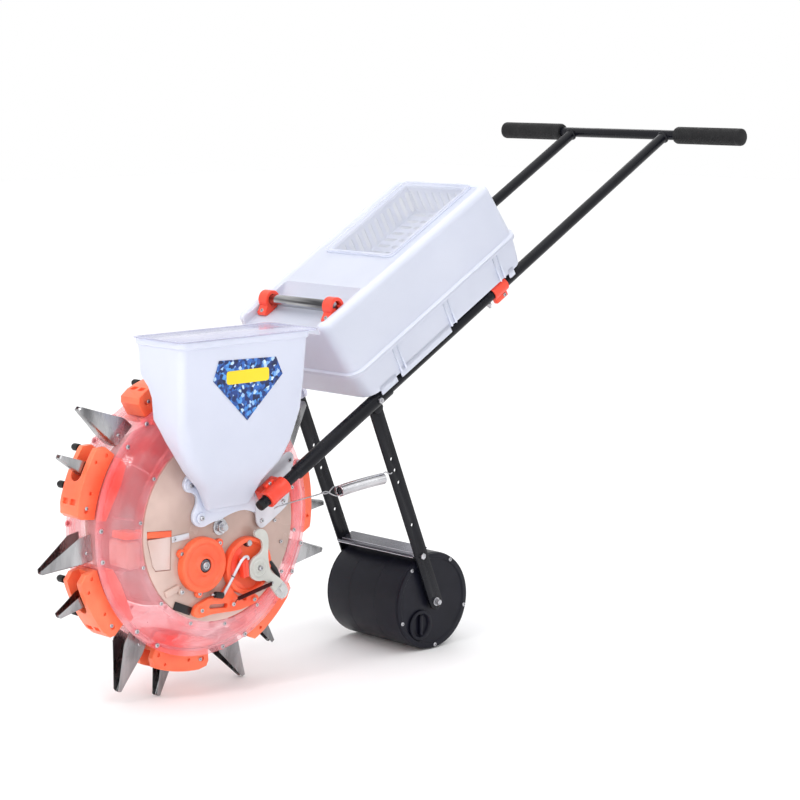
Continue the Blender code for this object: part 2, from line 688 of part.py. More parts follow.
def make_roller(roller):
    """Hollow roller for water or sand ballast, with a filler hole and its screwed cap."""
    r, h, w = ROLLER_R, ROLLER_HALF, ROLLER_WALL
    bore = ROLLER_AXLE_R + 0.0005
    profile = [
        (bore, h), (r - 0.004, h), (r, h - 0.004), (r, -h + 0.004), (r - 0.004, -h), (bore, -h),
        (bore, -h + w), (r - w, -h + w), (r - w, h - w), (bore + w, h - w), (bore + w, h - 2 * w), (bore, h - 2 * w),
    ]
    shell = as_mesh(turned(profile, (0, 0, r), (0, 1, 0), 40, closed=True))
    hole = rod(CAP_R - 0.006, (CAP_X, h - 0.010, CAP_Z), (CAP_X, h + 0.010, CAP_Z), 20)
    combine(shell, hole, "DIFFERENCE")
    finish(shell, "roller_shell", "black_plastic", roller)
    axis = axis_empty("filler_cap_turn", Vector((CAP_X, 0, CAP_Z - ROLLER_R)), roller)
    neck = CAP_R - 0.006 - GAP
    cap = as_mesh(turned([
        (0, 0.003), (CAP_R, 0.003), (CAP_R, GAP), (neck, GAP), (neck, -0.005), (0, -0.005),
    ], (CAP_X, h, CAP_Z), (0, 1, 0), 20))
    bar = block((0.0065, 0.0026, 0.042), (CAP_X, h + 0.0035, CAP_Z))
    combine(cap, bar, "UNION")
    cap = as_mesh(cap)
    finish(cap, "filler_cap", "black_plastic", roller)
    cap.location = cap.location - axis.location
    cap.parent = axis


def make_roller_springs():
    """Tension spring on its wire link, from each tube clamp's ear to the roller arm."""
    wire, coil = 0.0013, 0.0105
    for side, sign in SIDES:
        y_arm, y_ear = sign * ARM_Y, sign * 0.1115
        stations = [
            (0.396, y_ear, 0.322, wire), (0.340, sign * 0.110, 0.3255, wire), (0.285, sign * 0.108, 0.3285, wire),
            (0.2480, sign * 0.107, 0.3275, wire), (0.2443, sign * 0.107, 0.3270, coil),
            (0.217, sign * 0.106, 0.330, coil), (0.184, sign * 0.105, 0.3325, coil),
            (0.157, sign * 0.104, 0.3345, coil), (0.1345, y_arm, 0.3350, coil), (0.1310, y_arm, 0.3375, wire),
            (0.1245, y_arm, 0.3430, wire),
        ]
        curve = bpy.data.curves.new("spring", "CURVE")
        curve.dimensions = "3D"
        curve.bevel_depth = coil
        curve.bevel_resolution = 2
        curve.use_fill_caps = True
        spline = curve.splines.new("POLY")
        spline.points.add(len(stations) - 1)
        for point, (x, y, z, radius) in zip(spline.points, stations):
            point.co = (x, y, z, 1)
            point.radius = radius / coil
        obj = bpy.data.objects.new("spring", curve)
        parts.objects.link(obj)
        finish(obj, f"roller_spring_{side}", "bright_steel")


# ---------------------------------------------------------------- build

start()
make_materials()
machine = axis_empty("machine", (ROLLER_X, 0, 0))
make_handle()
make_tubes()
make_tube_clamps()
make_gussets()
make_side_plates()
make_hopper()
make_meter()
make_feed_lever()
make_seed_chute()
drum_axis = axis_empty("drum_spin", WHEEL, machine)
make_drum(drum_axis)
make_beaks(drum_axis)
make_fertiliser_box()
make_cross_bar()
make_fertiliser_pipe()
arm_axis = axis_empty("roller_arm_swing", on_tube(PIVOT_S, PIVOT_N), machine)
make_roller_arms(arm_axis)
roller_axis = axis_empty("roller_spin", Vector((0, 0, ROLLER_R)), machine)
make_roller(roller_axis)
make_roller_springs()
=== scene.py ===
"""Looks of a hand-pushed rotary duckbill planter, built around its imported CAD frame.

Metres, +X forward, +Y to the operator's left, +Z up, ground at z = 0. Positions along the handle frame are
given as (s, n, y): distance down the tubes from the handlebar, height above their middle plane, and Y.
"""
from math import atan2, cos, hypot, pi, radians, sin

import bmesh
import bpy
from mathutils import Matrix, Vector


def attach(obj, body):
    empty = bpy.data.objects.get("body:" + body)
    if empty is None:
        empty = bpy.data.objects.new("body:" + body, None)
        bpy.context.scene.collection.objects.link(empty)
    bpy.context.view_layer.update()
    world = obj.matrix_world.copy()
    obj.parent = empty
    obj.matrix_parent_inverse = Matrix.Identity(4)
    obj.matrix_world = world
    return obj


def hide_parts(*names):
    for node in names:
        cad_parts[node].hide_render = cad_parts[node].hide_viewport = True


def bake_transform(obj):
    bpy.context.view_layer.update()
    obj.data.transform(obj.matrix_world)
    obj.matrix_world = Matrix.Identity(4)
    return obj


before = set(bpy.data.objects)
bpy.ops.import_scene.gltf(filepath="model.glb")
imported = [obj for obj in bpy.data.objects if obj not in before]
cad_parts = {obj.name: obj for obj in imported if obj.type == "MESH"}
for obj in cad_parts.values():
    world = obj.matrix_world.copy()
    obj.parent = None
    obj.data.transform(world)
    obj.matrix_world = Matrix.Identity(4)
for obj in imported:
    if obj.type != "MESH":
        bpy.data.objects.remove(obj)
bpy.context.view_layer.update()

# The CAD's driving dimensions
X0 = -0.09                        # roller axle
GAP = 0.0004                      # between neighbours
TILT = radians(29.7)              # the handle tubes' slope
BAR = Vector((-0.698, 0, 0.923))
ALONG = Vector((cos(TILT), 0, -sin(TILT)))
ABOVE = Vector((sin(TILT), 0, cos(TILT)))
Y = Vector((0, 1, 0))
TUBE_Y = 0.119
WHEEL = Vector((0.402, 0, 0.295))
BEAKS = 7
FLAP_PHASE = radians(27.5)
OPENER_PHASE = radians(43.3)
OPENER_LEAN = radians(4.3)
RIM_R = 0.219
PLATE_FACE = 0.08
ROLLER_R = 0.09
ROLLER_HALF = 0.095
CAP_X, CAP_Z = 0.031, 0.049       # filler cap
ARM_Y = 0.1025
METER_X, METER_Z = 0.536, 0.237
HOUSING_X, HOUSING_Z = 0.438, 0.2215
LEVER_X, LEVER_Z = 0.423, 0.217   # feed lever's pivot
WALL = 0.0026                     # the fertiliser box's moulding
SIDES = (("left", 1), ("right", -1))


def mm(table):
    """Metres, from nested rows of millimetres."""
    return [mm(row) if hasattr(row, "__len__") else row / 1000 for row in table]


# ---------------------------------------------------------------- materials

MATERIALS = {}
MILKY_DARK = (0.65, 0.69, 0.845)
MILKY_LIGHT = (0.705, 0.745, 0.9)


def nodes_of(name):
    made = bpy.data.materials.new(name)
    made.use_nodes = True
    MATERIALS[name] = made
    return made.node_tree, made.node_tree.nodes["Principled BSDF"]


def noise(tree, scale, detail=3.0, stretch=None):
    """A noise value in object space; stretch scales the pattern along each axis."""
    place = tree.nodes.new("ShaderNodeTexCoord").outputs["Object"]
    if stretch:
        mapping = tree.nodes.new("ShaderNodeMapping")
        mapping.inputs["Scale"].default_value = stretch
        tree.links.new(place, mapping.inputs["Vector"])
        place = mapping.outputs["Vector"]
    tex = tree.nodes.new("ShaderNodeTexNoise")
    tex.inputs["Scale"].default_value = scale
    tex.inputs["Detail"].default_value = detail
    tree.links.new(place, tex.inputs["Vector"])
    return tex.outputs["Fac"]


def spread(tree, value, low, high, start=0.3, end=0.7):
    ramp = tree.nodes.new("ShaderNodeMapRange")
    for socket, number in zip(("From Min", "From Max", "To Min", "To Max"), (start, end, low, high)):
        ramp.inputs[socket].default_value = number
    tree.links.new(value, ramp.inputs["Value"])
    return ramp.outputs["Result"]


def tones(tree, value, dark, light, start=0.3, end=0.7):
    ramp = tree.nodes.new("ShaderNodeValToRGB")
    ramp.color_ramp.elements[0].position, ramp.color_ramp.elements[1].position = start, end
    ramp.color_ramp.elements[0].color = (*dark, 1)
    ramp.color_ramp.elements[1].color = (*light, 1)
    tree.links.new(value, ramp.inputs["Fac"])
    return ramp.outputs["Color"]


def surface(name, dark, light, rough, scale=25.0, stretch=None, grain=500.0, depth=0.00004, **sockets):
    """A solid material: two tones, roughness that varies between two values, and a fine grain."""
    tree, shader = nodes_of(name)
    broad = noise(tree, scale, 4.0, stretch)
    tree.links.new(tones(tree, broad, dark, light), shader.inputs["Base Color"])
    tree.links.new(spread(tree, noise(tree, scale * 2.3, 3.0, stretch), *rough), shader.inputs["Roughness"])
    bump = tree.nodes.new("ShaderNodeBump")
    bump.inputs["Distance"].default_value = depth
    tree.links.new(noise(tree, grain, 2.0, stretch), bump.inputs["Height"])
    tree.links.new(bump.outputs["Normal"], shader.inputs["Normal"])
    for socket, value in sockets.items():
        shader.inputs[socket.replace("_", " ")].default_value = value
    return tree, shader


def glow(weight, depth):
    """Sockets for light that spreads evenly below the surface."""
    return {"Subsurface_Weight": weight, "Subsurface_Scale": depth, "Subsurface_Radius": (1.0, 1.0, 1.0)}


def see_through(name, tint, dark, light, body, edge, painted_glow=0.0, rough=(0.06, 0.16), scale=9.0):
    """Clear moulding: a tinted see-through share, a glossy one that grows towards grazing angles, and a
    painted glow.
    """
    tree, shader = surface(name, dark, light, rough, scale, grain=160.0, depth=0.00008)
    shader.inputs["Specular IOR Level"].default_value = 0.75
    # Emission in the dark tone: a painted glow, light the moulding gives off though it is no lamp.
    shader.inputs["Emission Color"].default_value = (*dark, 1)
    shader.inputs["Emission Strength"].default_value = painted_glow
    passing = tree.nodes.new("ShaderNodeBsdfTransparent")
    passing.inputs["Color"].default_value = (*tint, 1)
    weight = tree.nodes.new("ShaderNodeLayerWeight")
    weight.inputs["Blend"].default_value = 0.35
    share = spread(tree, weight.outputs["Facing"], body, edge, 0.0, 1.0)
    mix = tree.nodes.new("ShaderNodeMixShader")
    tree.links.new(share, mix.inputs["Fac"])
    tree.links.new(passing.outputs[0], mix.inputs[1])
    tree.links.new(shader.outputs[0], mix.inputs[2])
    tree.links.new(mix.outputs[0], tree.nodes["Material Output"].inputs["Surface"])


def make_materials():
    surface("paint", (0.003, 0.0032, 0.0055), (0.0065, 0.007, 0.011), (0.22, 0.36), 18,
            Specular_IOR_Level=0.22)
    surface("rubber", (0.005, 0.005, 0.006), (0.01, 0.01, 0.011), (0.5, 0.66), 40, grain=900, depth=0.0001,
            Specular_IOR_Level=0.3)
    surface("roller", (0.0032, 0.0034, 0.0085), (0.0065, 0.0068, 0.014), (0.32, 0.46), 14, grain=700,
            depth=0.00012, Specular_IOR_Level=0.22)
    surface("dark_plastic_and_shade", (0.007, 0.007, 0.008), (0.015, 0.015, 0.018), (0.3, 0.45), 30,
            Specular_IOR_Level=0.35)
    surface("sheet", (0.06, 0.06, 0.075), (0.12, 0.12, 0.145), (0.18, 0.3), 22, (1, 0.2, 1), Metallic=0.6)
    surface("orange", (0.9, 0.1, 0.034), (0.98, 0.175, 0.068), (0.28, 0.44), 14, grain=350,
            **glow(0.25, 0.006))
    surface("orange_pale", (0.95, 0.135, 0.055), (1.0, 0.245, 0.115), (0.28, 0.42), 12, grain=350,
            **glow(0.3, 0.008))
    surface("red", (0.84, 0.052, 0.024), (0.93, 0.085, 0.04), (0.3, 0.44), 18, **glow(0.2, 0.005))
    surface("milky", MILKY_DARK, MILKY_LIGHT, (0.28, 0.42), 6, grain=220, depth=0.00006, **glow(0.5, 0.03))
    surface("tan", (0.36, 0.245, 0.205), (0.66, 0.48, 0.425), (0.16, 0.3), 6, grain=260, Coat_Weight=0.35)
    surface("grey_green", (0.47, 0.475, 0.445), (0.6, 0.605, 0.57), (0.35, 0.48), 20, **glow(0.2, 0.004))
    surface("zinc", (0.36, 0.36, 0.38), (0.62, 0.62, 0.65), (0.22, 0.4), 90, Metallic=1.0)
    surface("light_plate", (0.52, 0.52, 0.57), (0.68, 0.68, 0.73), (0.3, 0.42), 30, Metallic=0.35)
    surface("steel", (0.16, 0.16, 0.165), (0.5, 0.5, 0.51), (0.16, 0.34), 30, (1, 1, 0.25), grain=260,
            Metallic=1.0)
    surface("chrome", (0.42, 0.42, 0.44), (0.62, 0.62, 0.64), (0.05, 0.12), 20, Metallic=1.0)
    surface("bar_chrome", (0.07, 0.07, 0.075), (0.5, 0.5, 0.51), (0.05, 0.14), 110, (1, 0.06, 1),
            Metallic=1.0)
    surface("red_wire", (0.04, 0.005, 0.007), (0.09, 0.01, 0.012), (0.3, 0.4), 80, Metallic=0.5)
    surface("yellow", (0.83, 0.6, 0.01), (0.9, 0.68, 0.02), (0.35, 0.45), 12)
    # clear_pink and clear_rim get a painted glow (0.09 and 0.06): faint light of their own.
    see_through("clear_pink", (1.0, 0.955, 0.96), (0.98, 0.085, 0.105), (0.97, 0.66, 0.71), 0.17, 0.74, 0.09,
                scale=12.0)
    see_through("clear_rim", (1.0, 0.97, 0.97), (0.95, 0.3, 0.32), (0.95, 0.82, 0.86), 0.1, 0.5, 0.06)
    see_through("clear_lavender", (0.97, 0.97, 1.0), (0.58, 0.59, 0.76), (0.74, 0.75, 0.88), 0.3, 0.75)
    see_through("clear_white", (0.99, 0.99, 1.0), (0.7, 0.73, 0.82), (0.84, 0.86, 0.92), 0.1, 0.45)
    see_through("chute", (1.0, 0.97, 0.95), (0.9, 0.62, 0.55), (0.95, 0.82, 0.78), 0.45, 0.85)
    make_label_material()


def make_label_material():
    """Printed sticker: random flat blue facets."""
    tree, shader = nodes_of("label")
    place = tree.nodes.new("ShaderNodeTexCoord").outputs["Object"]
    cells = tree.nodes.new("ShaderNodeTexVoronoi")
    cells.inputs["Scale"].default_value = 185.0
    tree.links.new(place, cells.inputs["Vector"])
    parted = tree.nodes.new("ShaderNodeSeparateColor")
    tree.links.new(cells.outputs["Color"], parted.inputs["Color"])
    ramp = tree.nodes.new("ShaderNodeValToRGB")
    stops = ramp.color_ramp.elements
    stops[0].color, stops[1].color = (0.003, 0.006, 0.035, 1), (0.62, 0.78, 0.95, 1)
    stops[1].position = 1.0
    for position, colour in ((0.38, (0.008, 0.03, 0.17)), (0.64, (0.022, 0.115, 0.45)),
                             (0.85, (0.075, 0.3, 0.72))):
        stops.new(position).color = (*colour, 1)
    tree.links.new(parted.outputs["Red"], ramp.inputs["Fac"])
    tree.links.new(ramp.outputs["Color"], shader.inputs["Base Color"])
    tree.links.new(spread(tree, noise(tree, 20), 0.22, 0.34), shader.inputs["Roughness"])


# ---------------------------------------------------------------- mesh building

def at(x, y, z):
    """A point given from the roller axle's x."""
    return Vector((x + X0, y, z))


def frame_point(s, n, y=0.0):
    point = BAR + ALONG * s + ABOVE * n
    return Vector((point.x, y, point.z))


def basis(origin, direction):
    """A matrix whose Z runs along direction, and whose X is as near to upwards as it can be."""
    up = Vector((0, 0, 1))
    z = Vector(direction).normalized()
    x = up - z * up.dot(z)
    if x.length < 1e-4:
        x = Vector((1, 0, 0)) - z * z.x
    x.normalize()
    y = z.cross(x)
    made = Matrix((x, y, z)).transposed().to_4x4()
    made.translation = origin
    return made


def span(spot, y0, y1):
    """The two ends of a line along Y through a point."""
    return Vector((spot.x, y0, spot.z)), Vector((spot.x, y1, spot.z))


def leaning(degrees):
    return Matrix.Rotation(radians(degrees), 4, "Y")


def spots(rows, sign=1):
    """Points from rows of millimetres; x starts at the roller axle, and sign chooses the side."""
    return [at(x, sign * y, z) for x, y, z in mm(rows)]


FRAME_AXES = Matrix((ALONG, Y, ABOVE)).transposed().to_4x4()
FRAME_PLACE = Matrix.Translation(BAR) @ FRAME_AXES
ON_EDGE = Matrix(((1, 0, 0), (0, 0, 1), (0, 1, 0))).to_4x4()        # drawn (x, z), height along Y
ACROSS = Matrix(((0, 0, 1), (1, 0, 0), (0, 1, 0))).to_4x4()         # drawn (y, z), height along X
SIDEWAYS = Matrix.Rotation(pi / 2, 4, "X")                          # drawn (s, n), height along -Y
PIVOT_S = 0.889                                                     # the roller arms' hinge
PIVOT = frame_point(PIVOT_S, -0.022)


class Solid:
    """Gathers the geometry of one piece, with a material for each face."""

    def __init__(self):
        self.bm = bmesh.new()
        self.looks = []

    def take(self, part, look, matrix=None, bevel=0.0, segments=2, sharp=35):
        """Adds a bmesh, bevelled where its faces meet at more than the sharp angle."""
        bmesh.ops.recalc_face_normals(part, faces=part.faces)
        if bevel:
            edges = [e
                     for e in part.edges if len(e.link_faces) == 2 and e.calc_face_angle(0) > radians(sharp)]
            bmesh.ops.bevel(part, geom=edges, offset=bevel, segments=segments, affect="EDGES", profile=0.5,
                            clamp_overlap=True)
        if matrix is not None:
            part.transform(matrix)
        if look not in self.looks:
            self.looks.append(look)
        for face in part.faces:
            face.material_index = self.looks.index(look)
            face.smooth = True
        held = bpy.data.meshes.new("held")
        part.to_mesh(held)
        part.free()
        self.bm.from_mesh(held)
        bpy.data.meshes.remove(held)

    def box(self, size, centre, look, turn=None, bevel=0.0008, segments=2):
        part = bmesh.new()
        bmesh.ops.create_cube(part, size=1)
        part.transform(Matrix.Diagonal((*size, 1)))
        matrix = Matrix.Translation(centre) @ (turn if turn is not None else Matrix())
        self.take(part, look, matrix, bevel, segments)

    def lathe(self, profile, origin, axis, look, steps=48, closed=False):
        """Turns (radius, height) pairs about an axis; an open profile that ends on the axis is capped."""
        part = bmesh.new()
        rings = []
        for r, h in profile:
            if r < 1e-6:
                rings.append([part.verts.new((0, 0, h))])
                continue
            turns = [2 * pi * i / steps for i in range(steps)]
            rings.append([part.verts.new((r * cos(a), r * sin(a), h)) for a in turns])
        pairs = list(zip(rings, rings[1:])) + ([(rings[-1], rings[0])] if closed else [])
        for a, b in pairs:
            for i in range(steps):
                j = (i + 1) % steps
                if len(a) == 1 and len(b) == 1:
                    continue
                if len(a) == 1:
                    part.faces.new((a[0], b[j], b[i]))
                elif len(b) == 1:
                    part.faces.new((a[i], a[j], b[0]))
                else:
                    part.faces.new((a[i], a[j], b[j], b[i]))
        self.take(part, look, basis(origin, axis))

    def rod(self, start, end, radius, look, steps=24, bevel=0.0006):
        start, end = Vector(start), Vector(end)
        length = (end - start).length
        b = min(bevel, radius * 0.5, length * 0.4)
        rings = [(0, 0), (radius - b, 0), (radius - b * 0.3, b * 0.3), (radius, b), (radius, length - b),
                 (radius - b * 0.3, length - b * 0.3), (radius - b, length), (0, length)]
        self.lathe(rings, start, end - start, look, steps)

    def stud(self, x, z, y0, y1, radius, look, steps=24, bevel=0.0006):
        """A rod along Y, from y0 to y1; x starts at the roller axle."""
        self.rod(at(x, y0, z), at(x, y1, z), radius, look, steps, bevel)

    def hexagon(self, start, end, radius, look):
        """A hexagon head or nut with a turned face."""
        start, end = Vector(start), Vector(end)
        part = bmesh.new()
        outline = [(radius * cos(pi / 3 * i), radius * sin(pi / 3 * i)) for i in range(6)]
        fill(part, [outline], 0, (end - start).length)
        self.take(part, look, basis(start, end - start), radius * 0.09)

    def screw(self, spot, direction, radius):
        """A pan head whose cross recess is painted shade: two thin dark bars on the dome, not a hollow."""
        d = Vector(direction).normalized()
        high = radius * 0.55
        dome = [(0, 0), (radius, 0), (radius, high * 0.45), (radius * 0.85, high * 0.85),
                (radius * 0.5, high), (0, high)]
        self.lathe(dome, spot, d, "zinc", 14)
        # No recess is cut: two thin dark bars standing on the dome are its painted shade.
        for quarter in (0, 1):
            turn = basis(Vector(spot) + d * high, d) @ Matrix.Rotation(pi / 4 + quarter * pi / 2, 4, "Z")
            self.box((radius * 0.95, radius * 0.2, radius * 0.04), (0, 0, 0), "dark_plastic_and_shade", turn, 0)

    def sweep(self, points, radii, look, steps=16):
        """A round tube through points; radii is one number or one for each point."""
        points = [Vector(p) for p in points]
        if not hasattr(radii, "__len__"):
            radii = [radii] * len(points)
        part = bmesh.new()
        rings = []
        side = None
        for i, point in enumerate(points):
            ahead = (points[min(i + 1, len(points) - 1)] - points[max(i - 1, 0)]).normalized()
            if side is None:
                side = ahead.orthogonal().normalized()
            side = (side - ahead * side.dot(ahead)).normalized()
            other = ahead.cross(side)
            ring = []
            for k in range(steps):
                a = 2 * pi * k / steps
                ring.append(part.verts.new(point + (side * cos(a) + other * sin(a)) * radii[i]))
            rings.append(ring)
        for a, b in zip(rings, rings[1:]):
            for k in range(steps):
                j = (k + 1) % steps
                part.faces.new((a[k], a[j], b[j], b[k]))
        part.faces.new(rings[0][::-1])
        part.faces.new(rings[-1])
        self.take(part, look)

    def plate(self, loops, low, high, look, matrix, bevel=0.0006, segments=2):
        """A flat sheet with holes: loops of (x, y), outline first, between two heights."""
        part = bmesh.new()
        fill(part, loops, low, high)
        self.take(part, look, matrix, bevel, segments, 60)

    def loft(self, rings, look, closed=False):
        """Joins rings of equal counts; open lofts are capped at both ends."""
        part = bmesh.new()
        made = [[part.verts.new(p) for p in ring] for ring in rings]
        count = len(made[0])
        pairs = list(zip(made, made[1:])) + ([(made[-1], made[0])] if closed else [])
        for a, b in pairs:
            for i in range(count):
                j = (i + 1) % count
                part.faces.new((a[i], a[j], b[j], b[i]))
        if not closed:
            part.faces.new(made[0][::-1])
            part.faces.new(made[-1])
        self.take(part, look)

    def mesh(self, name, sharp=32):
        made = bpy.data.meshes.new(name)
        self.bm.to_mesh(made)
        self.bm.free()
        for look in self.looks:
            made.materials.append(MATERIALS[look])
        return smoothed(made, sharp)

    def done(self, name, body=None, replaces=(), sharp=32):
        return put(self.mesh(name, sharp), name, body, replaces)


def put(mesh, name, body=None, replaces=()):
    piece = bpy.data.objects.new(name, mesh)
    bpy.context.scene.collection.objects.link(piece)
    if body:
        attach(piece, body)
    if replaces:
        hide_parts(*replaces)
    return piece


def fill(part, loops, low, high):
    """Fills an outline with holes and extrudes it from one height to another."""
    edges = []
    for loop in loops:
        verts = [part.verts.new((x, y, low)) for x, y in loop]
        edges += [part.edges.new((verts[i - 1], verts[i])) for i in range(len(verts))]
    bmesh.ops.triangle_fill(part, use_beauty=True, use_dissolve=False, edges=edges)
    grown = bmesh.ops.extrude_face_region(part, geom=list(part.faces))
    moved = [g for g in grown["geom"] if isinstance(g, bmesh.types.BMVert)]
    bmesh.ops.translate(part, verts=moved, vec=(0, 0, high - low))


def upright(y_sign=1):
    """Takes a plate drawn as (x, z) from the roller axle to its place: its height runs along Y."""
    made = Matrix.Translation((X0, 0, 0)) @ ON_EDGE
    if y_sign < 0:
        made = Matrix.Scale(-1, 4, Y) @ made
    return made


def polar(radius, angle):
    return radius * cos(angle), radius * sin(angle)


def circle(x, y, radius, count=24):
    return [(x + radius * cos(2 * pi * i / count),
             y + radius * sin(2 * pi * i / count)) for i in range(count)]


def arc_points(x, y, radius, start, end, count):
    return [(x + radius * cos(start + (end - start) * i / count),
             y + radius * sin(start + (end - start) * i / count)) for i in range(count + 1)]


def capsule(a, b, radius, count=10):
    """Outline of a slot or bar with round ends."""
    a, b = Vector(a), Vector(b)
    heading = atan2(b.y - a.y, b.x - a.x)
    first = arc_points(b.x, b.y, radius, heading - pi / 2, heading + pi / 2, count)
    return first + arc_points(a.x, a.y, radius, heading + pi / 2, heading + 3 * pi / 2, count)


def rounded(x0, x1, y0, y1, radius, count=6):
    """A rectangle with round corners."""
    r = min(radius, (x1 - x0) * 0.49, (y1 - y0) * 0.49)
    corners = ((x1 - r, y1 - r, 0), (x0 + r, y1 - r, pi / 2), (x0 + r, y0 + r, pi),
               (x1 - r, y0 + r, 3 * pi / 2))
    return [p for x, y, a in corners for p in arc_points(x, y, r, a, a + pi / 2, count)]


def smooth_outline(points, passes=2):
    """Chaikin's corner cutting."""
    for _ in range(passes):
        cut = []
        for i, (x, y) in enumerate(points):
            nx, ny = points[(i + 1) % len(points)]
            cut += [(0.75 * x + 0.25 * nx, 0.75 * y + 0.25 * ny),
                    (0.25 * x + 0.75 * nx, 0.25 * y + 0.75 * ny)]
        points = cut
    return points


def smooth_path(points, passes=2):
    points = [Vector(p) for p in points]
    for _ in range(passes):
        cut = [points[0]]
        for a, b in zip(points, points[1:]):
            cut += [a.lerp(b, 0.25), a.lerp(b, 0.75)]
        points = cut + [points[-1]]
    return points


def carved(base, cutters, look, sharp=32):
    """The mesh of base less the cutters, in one material; all these objects are deleted."""
    for cutter in cutters:
        modifier = base.modifiers.new("cut", "BOOLEAN")
        modifier.operation = "DIFFERENCE"
        modifier.solver = "EXACT"
        modifier.object = cutter
    bpy.context.view_layer.update()
    graph = bpy.context.evaluated_depsgraph_get()
    made = bpy.data.meshes.new_from_object(base.evaluated_get(graph))
    for gone in (base, *cutters):
        bpy.data.objects.remove(gone, do_unlink=True)
    made.materials.clear()
    made.materials.append(MATERIALS[look])
    for polygon in made.polygons:
        polygon.material_index = 0
    return smoothed(made, sharp)


def smoothed(mesh, sharp):
    """Smooth shading, apart from edges over the sharp angle in degrees."""
    mesh.shade_smooth()
    mesh.set_sharp_from_angle(angle=radians(sharp))
    return mesh


# ---------------------------------------------------------------- handle frame

def make_handle():
    bar = Solid()
    bar.rod((BAR.x, -0.299, BAR.z), (BAR.x, 0.299, BAR.z), 0.0095, "paint", 32)
    bar.done("handlebar_tube", "frame", ["handlebar"])
    length, radius = 0.16, 0.0165
    profile = [(0, length), (0.009, length), (0.0135, length - 0.001), (0.0158, length - 0.003),
               (radius, length - 0.006)]
    ribs = 34
    for i in range(ribs):
        h = length - 0.01 - i * 0.004
        profile += [(radius, h), (radius - 0.0006, h - 0.0012), (radius - 0.0006, h - 0.0024),
                    (radius, h - 0.0032)]
    profile += [(radius, 0.005), (radius - 0.0015, 0.0015), (0.0125, 0), (0.0099, 0)]
    for side, sign in SIDES:
        grip = Solid()
        grip.lathe(profile, (BAR.x, sign * 0.147, BAR.z), (0, sign, 0), "rubber", 36)
        grip.done(f"grip_rubber_{side}", "frame", [f"grip_{side}"])


def make_tubes():
    for side, sign in SIDES:
        y = sign * TUBE_Y
        upper = Solid()
        bead = mm([(0.1, 6), (9.8, 6), (12.4, 8.5), (12, 10.5), (10, 12.5), (10, 905), (0.1, 905)])
        upper.lathe(bead, frame_point(0, 0, y), ALONG, "paint", 32)
        upper.done(f"tube_upper_{side}", "frame", [f"upper_tube_{side}"])
        lower = Solid()
        sleeve = mm([
            (10.2, 858), (12, 858), (12.5, 858.6), (12.5, 1105.5), (11.9, 1107.5), (10.2, 1109), (10, 1111),
            (10, 1185), (9.3, 1186), (9.3, 1193.5), (8.8, 1194.2), (0.1, 1194.2)])
        lower.lathe(sleeve, frame_point(0, 0, y), ALONG, "paint", 32)
        hanger_y = sign * (TUBE_Y - 0.0085)
        ear = mm([(-11, 13), (-11, -2), (-7, -8), (7, -8), (11, -2), (11, 13)])
        place = Matrix.Translation(frame_point(PIVOT_S, -0.0218, hanger_y)) @ FRAME_AXES @ SIDEWAYS
        lower.plate([ear], -0.002, 0.002, "paint", place, 0.0005)
        lower.rod(*span(PIVOT, hanger_y, sign * (ARM_Y - 0.0045)), 0.004, "zinc", 16)
        lower.hexagon(*span(PIVOT, sign * (ARM_Y - 0.0028), sign * (ARM_Y - 0.0075)), 0.0068, "zinc")
        bolt = frame_point(0.893, 0.001)
        face, top, end = (sign * (TUBE_Y + out) for out in (0.0118, 0.0165, 0.0195))
        lower.hexagon(*span(bolt, face, top), 0.0058, "zinc")
        lower.rod(*span(bolt, top, end), 0.003, "zinc", 12)
        lower.done(f"tube_lower_{side}", "frame", [f"lower_tube_{side}"])
        plug = Solid()
        cap = mm([(0.1, 1194.4), (8.6, 1194.4), (9, 1195), (9, 1201), (8, 1203.2), (0.1, 1203.6)])
        plug.lathe(cap, frame_point(0, 0, y), ALONG, "rubber", 28)
        plug.done(f"tube_plug_{side}", "frame")


def make_tube_clamps():
    for side, sign in SIDES:
        y = sign * TUBE_Y
        clamp = Solid()
        ring = mm([
            (10.4, 1138), (15, 1138), (15.8, 1138.8), (15.8, 1146), (15.2, 1147), (15.2, 1173), (15.8, 1174),
            (15.8, 1183.2), (15, 1184), (10.4, 1184)])
        clamp.lathe(ring, frame_point(0, 0, y), ALONG, "red", 32, closed=True)
        middle = 1.158
        clamp.box((0.044, 0.018, 0.022), frame_point(middle, 0, sign * 0.0973), "red", FRAME_AXES, 0.0015)
        for n, drop in ((0.0168, 1), (-0.0168, -1)):
            clamp.box((0.02, 0.008, 0.009), frame_point(middle + 0.004 * drop, n, sign * 0.1115), "red",
                      FRAME_AXES, 0.002)
            spot = frame_point(middle + 0.004 * drop, n + 0.001 * drop, sign * 0.1155)
            clamp.screw(spot, (0, sign, 0), 0.0034)
        clamp.done(f"clamp_{side}", "frame", [f"tube_clamp_{side}"])


def make_gussets():
    outline = mm([
        (396, 284), (404, 281), (412, 284), (418, 296), (419, 345), (404, 366), (352, 405), (338, 406),
        (330, 396), (345, 318), (350, 311)])
    bolts = mm([(405, 294), (356, 321), (341, 391)])
    for side, sign in SIDES:
        gusset = Solid()
        holes = [circle(x, z, 0.0025, 12) for x, z in ((0.372, 0.345), (0.388, 0.332))]
        gusset.plate([smooth_outline(outline, 1)] + holes, 0.0845, 0.0879, "light_plate", upright(sign),
                     0.0006)
        for x, z in bolts[:2]:
            gusset.stud(x, z, sign * 0.0804, sign * 0.0848, 0.0075, "light_plate", 20)
        for x, z in bolts:
            gusset.screw(at(x, sign * 0.0879, z), (0, sign, 0), 0.0042)
        gusset.done(f"gusset_plate_{side}", "frame", [f"gusset_{side}"])


# ---------------------------------------------------------------- side plates, hopper, metering

